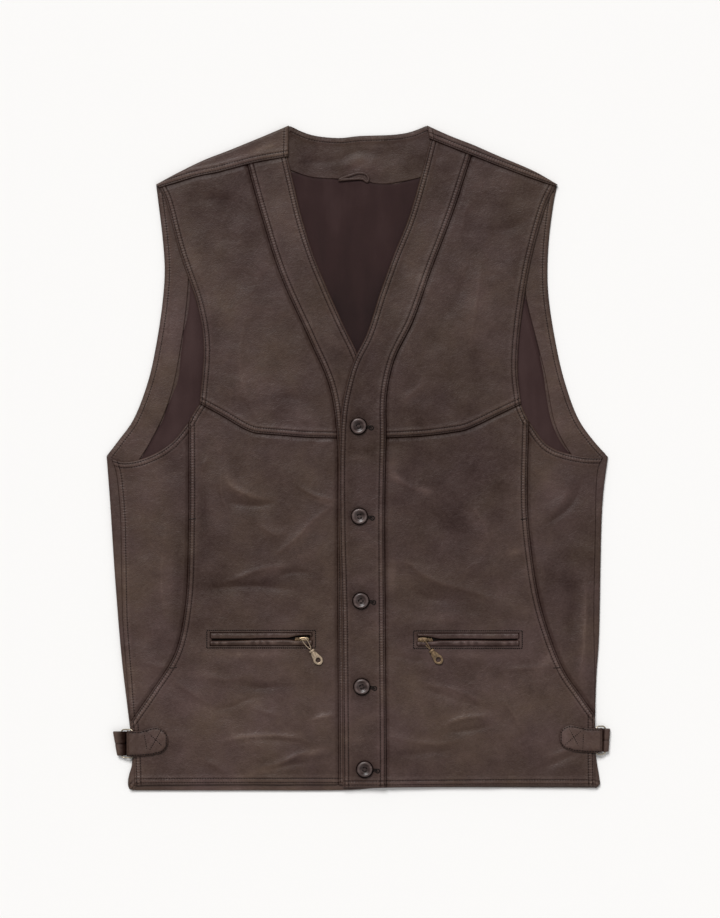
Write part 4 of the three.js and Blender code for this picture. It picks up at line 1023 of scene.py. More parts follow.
def front_panels(side):
    """The yoke, lower front, side panel and band of a front."""
    table = {name: smooth(places) for name, places in FRONT[side].items() if name != "seamEnd"}
    upper, lower = split_seam(FRONT[side])
    table["yokeSeam"][-1] = upper[-1]
    table["outEdge"] = chain(table["armholeFoot"], table["panelSeam"], table["vent"])
    table["sideFoot"] = smooth([table["sideSeam"][-1], table["panelSeam"][-1]])
    table["upper"], table["lower"] = upper, lower

    def panel(part, foot, head, start, end, styles, base=panel_base(side), tint=0.0):
        sides = (table[foot], table[head], table[start][::-1], table[end][::-1])
        edges = [(table[line], style) for line, style in styles.items()]
        return Panel(f"leather_{part}_{side}", sides, edges, base, tint=tint)

    yoke = panel("yoke", "yokeSeam", "shoulder", "armhole", "upper", {
        "yokeSeam": "lap", "shoulder": "under", "armhole": "free", "upper": "under"})
    lower_front = panel("lower", "hem", "yokeSeam", "outEdge", "lower", {
        "yokeSeam": "under", "armholeFoot": "free", "panelSeam": "lap", "vent": "hem", "hem": "hem",
        "lower": "under"})
    table["underarmUp"] = table["underarm"][::-1]
    side_panel = panel("side", "sideFoot", "underarmUp", "sideSeam", "panelSeam", {
        "panelSeam": "under", "underarm": "free", "sideSeam": SIDE_EDGE[side], "sideFoot": "plain"})
    band = panel("band", "bandHem", "bandTop", "bandSeam", "edge", {
        "bandSeam": "lap", "edge": "free", "bandTop": "under", "bandHem": "hem"},
        band_base(side), BAND_TINT[side])
    return {"yoke": yoke, "lower": lower_front, "side": side_panel, "band": band}


panels = {side: front_panels(side) for side in SIDES}
for side in SIDES:
    for part_name, panel in panels[side].items():
        build_panel(panel, LEATHER, "leather", f"{NODE_OF[part_name]}_{side}")
        panel.stitch()


# Back
STRIP_TINT = {"shoulder": {"left": 0.3, "right": 0.1}, "side": {"left": 0.15, "right": 0.1}}
STRIP_HEIGHT = {"shoulder": EDGE_HEIGHT, "side": EDGE_HEIGHT - 1.1}
CENTRE_SEAM = np.array([[0.0, 338], [1.5, 100], [0, -349]])
EDGE_ROWS = (2.1, 6.2)
SEAM_ROWS = (2.2, 6.4)


def back_strip(side, kind):
    """A strip of the back that folds over the shoulder or round the side to its seam."""
    front = FRONT[side]
    fold = smooth(BACK[side][kind])
    if kind == "shoulder":
        seam = smooth(front["shoulder"] + front["bandTop"][1:] + [front["seamEnd"]])
        ends = [smooth([seam[0], fold[0]]), smooth([seam[-1], fold[-1]])]
        edges = [(seam, "lap"), (fold, "fold"), (ends[0], "plain"), (ends[1], "facing")]
        sides = (seam, fold, ends[0], ends[1])
    else:
        inner = chain(smooth(front["sideSeam"]), smooth(front["vent"])) - [[OUT[side] * 3.0, 0]]
        ends = [smooth([inner[-1], fold[-1]]), smooth([inner[0], fold[0]])]
        edges = [(fold, "fold"), (ends[0], "hem"), (ends[1], "plain")]
        sides = (ends[0], ends[1], inner[::-1], fold[::-1])
    base = flat_base(STRIP_HEIGHT[kind], 0.5)
    return Panel(f"leather_back_{kind}_{side}", sides, edges, base, step=3.0, tint=STRIP_TINT[kind][side])


def back_panel():
    """The flat of the back, with its armhole, neck and hem edges."""
    hole = {side: smooth(BACK[side]["armhole"]) for side in SIDES}
    flank = {side: smooth(BACK[side]["side"]) - [OUT[side] * FOLD, 0] for side in SIDES}
    shoulder = {side: smooth(BACK[side]["shoulder"]) - [0, FOLD] for side in SIDES}
    for side in SIDES:
        flank[side][0], shoulder[side][0] = hole[side][-1], hole[side][0]
    neck, foot = smooth(BACK["neck"]), smooth(BACK["hem"])
    neck[0], neck[-1] = shoulder["left"][-1], shoulder["right"][-1]
    head = chain(shoulder["left"], neck, shoulder["right"][::-1])
    start, end = (chain(hole[side], flank[side])[::-1] for side in SIDES)
    foot[0], foot[-1] = start[0], end[0]
    edges = [(hole["left"], "plain"), (hole["right"], "plain"), (neck, "plain"), (foot, "turned"),
             (flank["left"], "plain"), (flank["right"], "plain"),
             (shoulder["left"], "plain"), (shoulder["right"], "plain")]

    def hem_height(places):
        return WALL + 1.9 * ease(-337, -341.5, places[:, 1])

    return Panel("leather_back", (foot, head, start, end), edges, hem_height, step=6.0)


def underside(places, lines):
    """Hollows of the outer side of the back, which lies underneath, with painted shade along its stitch rows
    and centre seam.
    """
    below, shade = np.zeros(len(places)), np.zeros(len(places))
    for line in lines:
        far, _ = nearest(places, line)
        below += 0.45 * np.clip(1 - far / 1.6, 0, 1) ** 2
        for row in EDGE_ROWS:
            below += 0.3 * bell(far, row, 0.6)
            shade -= 0.7 * bell(far, row, 0.7)
    seam, _ = nearest(places, CENTRE_SEAM)
    below += 0.35 * bell(seam, 0, 0.7)
    shade -= 0.8 * bell(seam, 0, 0.8)
    for row in SEAM_ROWS:
        below += 0.28 * bell(seam, row, 0.6)
        shade -= 0.6 * bell(seam, row, 0.7)
    return below, shade


def build_back():
    """The back: the flat, whose outer side is underneath, and the strips that fold over to the seams."""
    panel = back_panel()
    net = panel.net()
    flat_places = net.reshape(-1, 2)
    count = len(flat_places)
    height, tone = panel.surface(flat_places)
    lines = [line for line, _ in panel.edges[:4]]
    below, shade = underside(flat_places, lines)
    places = np.vstack([np.column_stack([flat_places, height]), np.column_stack([flat_places, below])])
    grid = np.arange(count).reshape(net.shape[:2])
    faces, loop = grid_faces(grid), grid_border(grid)
    every = np.vstack([faces, faces[:, ::-1] + count, skirt_faces(loop, loop + count)])
    obj = mesh_object(panel.name, places, every.tolist(), LEATHER, "leather")
    set_tone(obj, np.concatenate([tone, tone_at(flat_places * [-1, 1]) * 0.6 + shade]))
    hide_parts("back")
    rows = [(line, EDGE_ROWS) for line in lines]
    rows.append((CENTRE_SEAM, SEAM_ROWS + tuple(-row for row in SEAM_ROWS)))
    for line, distances in rows:
        for distance in distances:
            line = even(line, 3)
            offset = offset_line(line, distance, panel.outline)
            add_stitches(row_spots(
                offset, lambda places: np.full(len(places), 0.16),
                lambda places: inside(places, panel.outline), lift=0.0))
    for side in SIDES:
        for kind in ("shoulder", "side"):
            strip = back_strip(side, kind)
            build_panel(strip, LEATHER, "leather", "back")
            strip.stitch()


build_back()


# Inside of the back
NECK_CREASES = [
    ([[-52, 312], [-30, 311], [-14, 314]], 3.0, -0.5), ([[-12, 318], [2, 322], [18, 320]], 3.0, -0.6),
    ([[-8, 308], [4, 314], [14, 309]], 4.0, 0.7), ([[22, 316], [34, 321], [44, 319]], 3.0, -0.4),
    ([[-2, 300], [10, 304], [24, 300]], 3.0, 0.4)]


def neck_height(places):
    """Height of the neck facing with its creases."""
    height = INSIDE_HEIGHT + 0.8 * ripple(places)
    for table, width, rise in NECK_CREASES:
        height += rise * bell(nearest(places, even(smooth(table), 2))[0], 0, width)
    return height


def lining_height(places):
    """The lining lies in soft folds over the back."""
    x, y = places.T
    calm = ease(-10, 20, y)
    folds = 0.4 * np.sin(0.11 * x + 0.9 * np.sin(0.021 * y)) + 0.25 * np.sin(0.23 * x + 0.05 * y)
    return INSIDE_HEIGHT - 0.3 + calm * (0.5 * ripple(places) + folds)


def build_armhole_facing(side):
    """The facing inside an armhole."""
    hole = smooth(BACK[side]["armhole"])
    hole = hole[hole[:, 1] < 279] - [[OUT[side] * 0.5, 0]]
    tail = smooth([hole[-1], [hole[-1, 0] - OUT[side] * 4.0, hole[-1, 1] - 14]])
    out_edge = chain(hole, tail)
    in_edge = smooth(INSIDE["facing"][side])
    ends = [smooth([out_edge[-1], in_edge[-1]]), smooth([out_edge[0], in_edge[0]])]
    facing = Panel(
        f"leather_armhole_facing_{side}", (ends[0], ends[1], out_edge[::-1], in_edge[::-1]),
        [(hole, "facing"), (in_edge, "plain"), (ends[0], "plain"), (ends[1], "plain")],
        flat_base(INSIDE_HEIGHT, 0.6), step=2.5, tint=0.12)
    build_panel(facing, LEATHER, "leather", f"armhole_facing_{side}")
    facing.stitch()


def build_neck_facing(foot):
    """The facing inside the back of the neck."""
    top = smooth(INSIDE["neckTop"])
    ends = [smooth([foot[0], top[0]]), smooth([foot[-1], top[-1]])]
    edges = [(top, "facing"), (foot, "plain"), (ends[0], "plain"), (ends[1], "plain")]
    neck = Panel("leather_neck_facing", (foot, top, *ends), edges, neck_height, tint=-0.16)
    build_panel(neck, LEATHER, "leather", "neck_facing")
    neck.stitch()


def build_lining(neck_foot):
    """The lining of the upper back, darkened with painted shade in the middle of the neck, and paler near the
    armholes.
    """
    left, right = (smooth(INSIDE["facing"][side][3:])[::-1] for side in SIDES)
    foot = neck_foot + [0, 1.5]
    head = chain(smooth([left[-1], foot[0]]), foot, smooth([foot[-1], right[-1]]))
    edges = [(head, "under"), (left, "under"), (right, "under")]
    sides = (smooth(INSIDE["liningFoot"]), head, left, right)
    lining = Panel("woven_lining", sides, edges, lining_height, step=4.0, look="cloth")
    obj = build_panel(lining, LINING, "lining", "back_lining")
    x, y = np.array([v.co[:2] for v in obj.data.vertices]).T / MM
    # Painted shade deep in the neck, and paler near the armholes
    deep = -0.7 * ease(240, 120, y) * ease(110, 20, np.abs(x - 5)) + 0.45 * ease(130, 190, np.abs(x))
    tones = obj.data.attributes["tone"].data
    old = np.zeros(len(x), np.float32)
    tones.foreach_get("value", old)
    tones.foreach_set("value", (old + deep).astype(np.float32))


for side in SIDES:
    build_armhole_facing(side)
facing_foot = smooth(INSIDE["neckFoot"])
build_neck_facing(facing_foot)
build_lining(facing_foot)


# Hard pieces
def ring_faces(rings, count, closed=False):
    """Faces between rings of places, and over both ends unless the rings close on themselves."""
    faces = []
    for i in range(rings if closed else rings - 1):
        first, second = i * count, (i + 1) % rings * count
        for k in range(count):
            following = (k + 1) % count
            faces.append([first + k, first + following, second + following, second + k])
    if not closed:
        faces.append(list(range(count))[::-1])
        faces.append([(rings - 1) * count + k for k in range(count)])
    return faces


def swept(path, radius, sides=8, closed=False, flat=1.0):
    """A round wire along a path: places and faces."""
    path = np.asarray(path, float)
    ahead = np.roll(path, -1, axis=0) - np.roll(path, 1, axis=0)
    if not closed:
        ahead[0], ahead[-1] = path[1] - path[0], path[-1] - path[-2]
    ahead /= np.linalg.norm(ahead, axis=1)[:, None]
    up = UP
    if np.abs(ahead @ up).max() > 0.95:
        up = np.array([0.0, 1.0, 0.0]) if np.abs(ahead[:, 1]).max() < 0.95 else np.array([1.0, 0.0, 0.0])
    across = np.cross(up, ahead)
    across /= np.maximum(np.linalg.norm(across, axis=1), 1e-9)[:, None]
    rise = np.cross(ahead, across)
    angles = np.arange(sides) * 2 * np.pi / sides
    ring = (path[:, None] + radius * np.cos(angles)[None, :, None] * across[:, None]
            + flat * radius * np.sin(angles)[None, :, None] * rise[:, None])
    return ring.reshape(-1, 3), ring_faces(len(path), sides, closed)


def join_parts(parts):
    """Joins lists of places and faces."""
    places, faces, count = [], [], 0
    for part_places, part_faces in parts:
        places.append(np.asarray(part_places, float))
        faces += [[i + count for i in face] for face in part_faces]
        count += len(part_places)
    return np.vstack(places), faces


def block(size, centre):
    """A small box."""
    half = np.array(size) / 2
    corners = np.array([[x, y, z] for x in (-1, 1) for y in (-1, 1) for z in (-1, 1)]) * half + centre
    faces = [[0, 1, 3, 2], [4, 6, 7, 5], [0, 4, 5, 1], [2, 3, 7, 6], [0, 2, 6, 4], [1, 5, 7, 3]]
    return corners, faces


def lathe(profile, sides, centre):
    """Turns a profile of distance and height round an upright axis."""
    angles = np.arange(sides) * 2 * np.pi / sides
    rings = [np.column_stack([r * np.cos(angles), r * np.sin(angles), np.full(sides, z)]) for r, z in profile]
    return np.vstack(rings) + centre, ring_faces(len(profile), sides)


def rounded_plate(outline, profile):
    """A plate whose outline is drawn in by each row of a profile of inset and height."""
    outline = np.asarray(outline, float)
    inward = unit_left(closed_tangent(outline)) * (-1 if signed_area(outline) < 0 else 1)
    count = len(outline)
    rings = [np.column_stack([outline + inset * inward, np.full(count, z)]) for inset, z in profile]
    return np.vstack(rings), ring_faces(len(profile), count)


# Pockets
WELT_SHARES = np.array([0, .03, .07, .12, .17, .21, .25, .29, .36, .46, .58, .7, .8, .88, .94, 1.0])
# Tucked welt ends: depth, reach, and the tone of the painted shade in them
WELT_ENDS = {"depth": 1.2, "reach": 1.6, "tone": 1.3}
MOUTH = {"upper": 2.6, "lower": 1.7}
FRAME_ROW = {"beyond": (3.0, 0.5), "pitch": 2.2, "scale": 1.15}
TAPE = {"drop": 2.2, "size": (104, 15, 0.8)}
TEETH = {"count": 62, "pitch": 1.55, "size": (0.85, 2.0, 1.0)}
SLIDER = {"top": 0.9, "half_length": 5.4, "half_width": 2.4, "wire": 0.62, "bow": 3.9}
SLIDER_BRASS = {"left": BRASS, "right": OLD_BRASS}
PULL_BRASS = {"left": PALE_BRASS, "right": OLD_BRASS}


def squared(value, power):
    """A power that keeps the sign of a value."""
    return np.sign(value) * np.abs(value) ** power


def lip_grid(pocket, lip, x, mouth):
    """One lip and its half of the frame: distance from the slit's line, height and tone on a grid. The tone
    is painted highlight on the roll and painted shade at the frame's edge, the slit and the tucked ends, with
    painted light and shade following the crumples.
    """
    half_length, half_width = WINDOW["length"] / 2, WINDOW["width"] / 2
    open_mouth = ease(mouth - 20, mouth - 4, x) * ease(mouth + 9, mouth + 5, x)
    drift = lip * pocket["slope"] * pocket["mouth"] * x
    gape = MOUTH["upper"] if lip > 0 else MOUTH["lower"]
    slit = np.maximum(0.15, 0.4 + drift + gape * open_mouth + 0.2 * np.sin(x * 0.11 + lip))[:, None]
    reach = slit + (half_width - slit) * (1 - WELT_SHARES[None, :])
    out = half_width - reach
    inner = np.clip((out - LIP_EDGE) / (half_width - slit - LIP_EDGE), 0, 1)
    border = 0.35 - 0.5 * np.clip(1 - out / 0.5, 0, 1) ** 2
    crumple = 0.16 * np.sin(x * 0.5 + 3 * np.sin(x * 0.13) + lip)[:, None] * bell(inner, 0.5, 0.3)
    swell = 1.25 if lip < 0 else 1.0
    roll = 0.1 + swell * np.sin(np.pi * inner) ** 0.55 - 1.6 * ease(0.84, 1.0, inner)
    ends = np.minimum(x + half_length, half_length - x)[:, None]
    tuck = np.clip(1 - ends / WELT_ENDS["reach"], 0, 1) ** 2 * ease(LIP_EDGE, LIP_EDGE + 0.6, out)
    z = np.where(out < LIP_EDGE, border, roll) - 0.7 * bell(out, LIP_EDGE, 0.4)
    z = z + crumple - WELT_ENDS["depth"] * tuck
    # Painted highlight on the lip's roll; painted shade in the crease at the frame's edge and where the lip
    # turns into the slit
    tone = 0.25 * bell(inner, 0.78, 0.14) + 0.05
    tone = tone - 0.95 * bell(out, LIP_EDGE, 0.6) - 1.3 * ease(0.9, 1.0, inner)
    # Painted shade in the tucked ends, and painted light and shade that follow the crumples
    tone = tone - WELT_ENDS["tone"] * ease(1.7, 0.4, ends) * ease(LIP_EDGE - 0.4, LIP_EDGE, out)
    tone = tone + 2.2 * crumple * (1.3 if lip < 0 else 0.5)
    return reach, z, tone


def build_welts(side, face, mouth):
    """The two lips of a pocket with the frame round them."""
    pocket = POCKETS[side]
    half_length, half_width = WINDOW["length"] / 2, WINDOW["width"] / 2
    ends = half_length - EDGE_STEPS[:9]
    x = np.concatenate([-ends, np.linspace(5 - half_length, half_length - 5, 90), ends[::-1]])
    parts, tones = [], []
    for lip in (1, -1):
        reach, z, tone = lip_grid(pocket, lip, x, mouth)
        along_slit = np.broadcast_to(pocket["mouth"] * x[:, None] + pocket["x"], z.shape)
        places = np.column_stack([
            along_slit.ravel(), (lip * reach + pocket["y"]).ravel(), (z + face + 0.1).ravel()])
        quads = grid_faces(np.arange(z.size).reshape(z.shape).T)
        if lip * pocket["mouth"] > 0:
            quads = quads[:, ::-1]
        parts.append((places, quads.tolist()))
        tones.append(tone.ravel())
    welts = mesh_object(f"leather_welts_{side}", *join_parts(parts), LEATHER, "leather")
    set_tone(welts, np.concatenate(tones))
    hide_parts(f"pocket_welts_{side}")
    corners = np.array([[-1, -1], [1, -1], [1, 1], [-1, 1], [-1, -1]])
    reach = np.array([half_length, half_width]) + FRAME_ROW["beyond"]
    frame_line = even(corners * reach + [[pocket["x"], pocket["y"]]], 1.5)
    row = row_spots(frame_line, panels[side]["lower"].height, pitch=FRAME_ROW["pitch"])
    add_stitches(row, FRAME_ROW["scale"])


def build_tape(side, face, mouth):
    """The zip tape, and the teeth that show beside the slider."""
    pocket = POCKETS[side]
    height = face - TAPE["drop"]
    tape = block(TAPE["size"], (pocket["x"], pocket["y"], height))
    teeth = []
    for i in range(TEETH["count"]):
        run = 5 - WINDOW["length"] / 2 + TEETH["pitch"] * i
        if mouth - 10 <= run <= mouth - 4:
            for lip in (1, -1):
                x = pocket["mouth"] * (run + 0.4 * lip) + pocket["x"]
                teeth.append(block(TEETH["size"], (x, pocket["y"] + 0.7 * lip, height + 0.9)))
    cloth = mesh_object(f"zip_tape_cloth_{side}", *tape, TAPE_CLOTH, "zip_tape", smooth_faces=False)
    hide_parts(f"zip_tape_{side}")
    mesh_object(f"zip_teeth_{side}", *join_parts(teeth), OLD_BRASS, "antique_brass", smooth_faces=False)


def build_slider(side, face, axis_height):
    """The slider with the bridge that its pull turns on."""
    pocket = POCKETS[side]
    top, bow = face + SLIDER["top"], SLIDER["bow"]
    angles = np.arange(48) * 2 * np.pi / 48
    outline = np.column_stack([
        SLIDER["half_length"] * squared(np.cos(angles), 0.7) + pocket["slider"],
        SLIDER["half_width"] * squared(np.sin(angles), 0.7) + pocket["y"]])
    body = rounded_plate(
        outline, [(0.3, top - 2.6), (0, top - 2.2), (0, top - 0.7), (0.35, top - 0.15), (0.9, top)])
    half = [(bow, top - 0.5), (bow, axis_height - 0.8), (bow - 0.6, axis_height - 0.15), (2.2, axis_height)]
    profile = [(-run, height) for run, height in half] + half[::-1]
    path = [[pocket["slider"] + run, pocket["y"], height] for run, height in profile]
    parts = join_parts([body, swept(path, SLIDER["wire"], 10)])
    slider = mesh_object(f"brass_slider_{side}", *parts, SLIDER_BRASS[side], "antique_brass")
    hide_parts(f"zip_slider_{side}")


def pull_link(tilt):
    """The wire link of a pull, wider at the bridge."""
    length, width = PULL["link"] + PULL["eye"], PULL["eye"] + PULL["wire"]
    angles = np.arange(40) * 2 * np.pi / 40
    long_way = length / 2 * squared(np.cos(angles), 0.8) + length / 2 - PULL["eye"]
    wide_way = width * (1.6 - 0.07 * long_way) * np.sin(angles)
    path = np.column_stack([long_way, wide_way * math.cos(tilt), wide_way * math.sin(tilt)])
    return swept(path, PULL["wire"], 8, closed=True)


def pull_tab():
    """The flat tab of a pull, with a round hole, a collar and a neck."""
    start, end, half, neck, thick = (PULL_TAB[key] for key in ("start", "end", "half", "neck", "thick"))
    hole_at = PULL_TAB["hole_at"]
    half_line = smooth([[start + 2.0, neck], [start + 4.5, neck + 0.8], [hole_at - 4, half - 0.9],
                        [hole_at, half], [hole_at + 3.4, half - 1.3], [end - 0.6, 1.7], [end, 0]], 8)
    outline = np.vstack([half_line, half_line[::-1][1:] * [1, -1]])
    middle = np.array([hole_at, 0])
    bearing = np.arctan2(*(outline - middle).T[::-1])
    hole = middle + PULL_TAB["hole"] * np.column_stack([np.cos(bearing), np.sin(bearing)])
    outward = -unit_left(closed_tangent(outline))
    if ((outline - middle) * outward).sum() < 0:
        outward = -outward
    toward = (outline - hole) / np.linalg.norm(outline - hole, axis=1)[:, None]
    top, foot = thick / 2, -thick / 2
    rows = [(hole, foot + 0.2), (hole, top - 0.25), (hole + 0.4 * toward, top),
            (outline - 0.45 * outward, top), (outline, top - 0.3), (outline, foot + 0.2),
            (outline - 0.3 * outward, foot), (hole + 0.3 * toward, foot)]
    count = len(outline)
    places = np.vstack([np.column_stack([row, np.full(count, z)]) for row, z in rows])
    faces = [[a, d, c, b] for a, b, c, d in ring_faces(len(rows), count, closed=True)]
    bar = np.array([[-1.1, -1], [1.1, -1], [1.1, 1], [-1.1, 1]]) * [1, neck + 0.3] + [start, 0]
    collar = rounded_plate(bar, [(0.3, -0.9), (0, -0.6), (0, 0.6), (0.35, 0.95)])
    return [(places, faces), collar, block((2.6, 2 * neck - 1.4, 0.7), (start + 1.6, 0, -0.1))]


def build_pull(side, axis_height):
    """The pull: a wire link round the bridge, and a flat tab."""
    pocket = POCKETS[side]
    places, faces = join_parts([pull_link(math.radians(pocket["tilt"])), *pull_tab()])
    x, y, z = places.T
    x, z = turned(x, z, -PULL["drop"])
    x, y = turned(x, y, pocket["turn"])
    places = np.column_stack([x, y, z]) + [pocket["slider"], pocket["y"], axis_height]
    pull = mesh_object(
        f"brass_pull_{side}", places, faces, PULL_BRASS[side], "antique_brass", body=f"pull_{side}")
    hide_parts(f"zip_pull_{side}")


def build_pocket(side):
    """A zip pocket: frame and two lips, tape with teeth, slider with its bridge, and the pull."""
    pocket = POCKETS[side]
    face = float(front_height(np.array([[pocket["x"], pocket["y"]]]))[0])
    if side == "right":
        face += float(LAP_SHARE * lap_rise(pocket["y"]) * ease(80, 30, pocket["x"]))
    mouth = pocket["mouth"] * (pocket["slider"] - pocket["x"])
    axis_height = face + PULL_AXIS_RISE
    build_welts(side, face, mouth)
    build_tape(side, face, mouth)
    build_slider(side, face, axis_height)
    build_pull(side, axis_height)


for side in SIDES:
    build_pocket(side)


# Buttons. Each row of the profile: distance in from the rim, share of the thickness, tone; the darkest tone,
# at the foot and the outer edge, is painted shadow round the button
BUTTON_PROFILE = [
    (2.2, 0.0, -1.5), (0.3, 0.5 / BUTTON["thick"], -1.5), (-0.05, 0.3, -1.5), (0.1, 0.42, -1.5),
    (0.75, 0.6, -1.1),
    (1.1, 0.8, -0.1), (1.8, 0.96, 0.3), (2.5, 1.0, 0.35), (3.2, 0.95, 0.05), (4.0, 0.82, -0.3),
    (4.8, 0.69, -0.45), (5.6, 0.63, -0.45)]
BUTTON_SIDES = 56
BUTTONHOLE = {"slope": -0.12, "eye": (13.6, -2.0), "bars": (8.8, 12.4, 1.15), "lip": 1.25, "round": 2.05,
              "slit": (8.0, 10.5, 13.2), "wire": 0.5, "hole": 0.75, "scale": 0.95}


def build_button(number, x, y, turn):
    """A four-hole button with a dished middle, the thread through its holes, and dark discs of painted shade
    in the holes.
    """
    radius, thick, half = BUTTON["radius"], BUTTON["thick"], BUTTON["pitch"] / 2
    foot = float(panels["right"]["band"].height(np.array([[x, y]]))[0]) + 0.3
    profile = [(radius - inset, thick * share) for inset, share, _ in BUTTON_PROFILE]
    profile = [(0.01, 0)] + profile + [(0.01, thick * 0.61)]
    # The first rows are painted shadow round the button's edge
    shades = [-1.5] + [tone for _, _, tone in BUTTON_PROFILE] + [-0.45]
    button = mesh_object(f"horn_button_{number}", *lathe(profile, BUTTON_SIDES, (x, y, foot)), HORN, "horn")
    set_tone(button, np.repeat(shades, BUTTON_SIDES))
    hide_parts(f"button_{number}")
    dish = foot + thick * 0.62
    # Thread-coloured discs in the holes: painted shade inside them
    hole = [(0.01, -0.3), (BUTTON["hole"], -0.3), (BUTTON["hole"], 0.02), (0.01, 0.03)]
    parts = []
    for side_x, side_y in ((1, 1), (-1, 1), (-1, -1), (1, -1)):
        dx, dy = turned(side_x * half, side_y * half, turn)
        parts.append(lathe(hole, 16, (x + dx, y + dy, dish)))
    for sign in (1, -1):
        (ax, ay), (bx, by) = (turned(side_x * half, sign * half, turn) for side_x in (-1, 1))
        path = [[x + ax + (bx - ax) * s, y + ay + (by - ay) * s, dish - 0.25 + 2.56 * s * (1 - s)]
                for s in np.linspace(0, 1, 7)]
        parts.append(swept(path, 0.3, 6))
    mesh_object(f"button_thread_and_hole_shade_{number}", *join_parts(parts), THREAD, "horn")


def build_buttonholes():
    """Keyhole buttonholes that show to the right of the buttons: stitched lips and a round eye, with dark
    discs and wires of painted shade in the openings.
    """
    direction = np.array([1, BUTTONHOLE["slope"]]) / math.hypot(1, BUTTONHOLE["slope"])
    across = np.array([-direction[1], direction[0]])
    spots, opening_shade = [], []

    def height(place):
        return float(panels["right"]["band"].height(np.array([place]))[0])

    for x, y, _ in BUTTONS:
        middle = np.array([x, y])
        eye = middle + BUTTONHOLE["eye"]
        for run in np.arange(*BUTTONHOLE["bars"]):
            for lip in (1, -1):
                place = middle + direction * run + across * lip * BUTTONHOLE["lip"]
                spots.append((np.append(place, height(place) + 0.12), np.append(across, 0)))
        for angle in np.radians(np.arange(-140, 141, 28)):
            spoke = direction * math.cos(angle) + across * math.sin(angle)
            place = eye + spoke * BUTTONHOLE["round"]
            spots.append((np.append(place, height(place) + 0.14), np.append(spoke, 0)))
        base, hole = height(eye), BUTTONHOLE["hole"]
        # Dark discs in the eyes and dark wires along the slits: painted shade in the openings
        opening_shade.append(lathe([(0.01, -0.2), (hole, -0.2), (hole, 0.06), (0.01, 0.1)], 16, (*eye, base)))
        path = [[*(middle + direction * run), base - 0.05] for run in BUTTONHOLE["slit"]]
        opening_shade.append(swept(path, BUTTONHOLE["wire"], 6))
    add_stitches(spots, BUTTONHOLE["scale"])
    mesh_object("buttonhole_opening_shade", *join_parts(opening_shade), THREAD, "leather")


def build_bars():
    """Short bars of thread across the panel seams, where two lengths of stitching meet."""
    for side, x, y in SEAM_BARS:
        line = even(np.array([[x - 3.6, y - 0.3], [x + 3.6, y + 0.3]]), 1)
        add_stitches(row_spots(line, panels[side]["lower"].height, pitch=1.5), 1.1)


for number, button in enumerate(BUTTONS, 1):
    build_button(number, *button)
build_buttonholes()
build_bars()


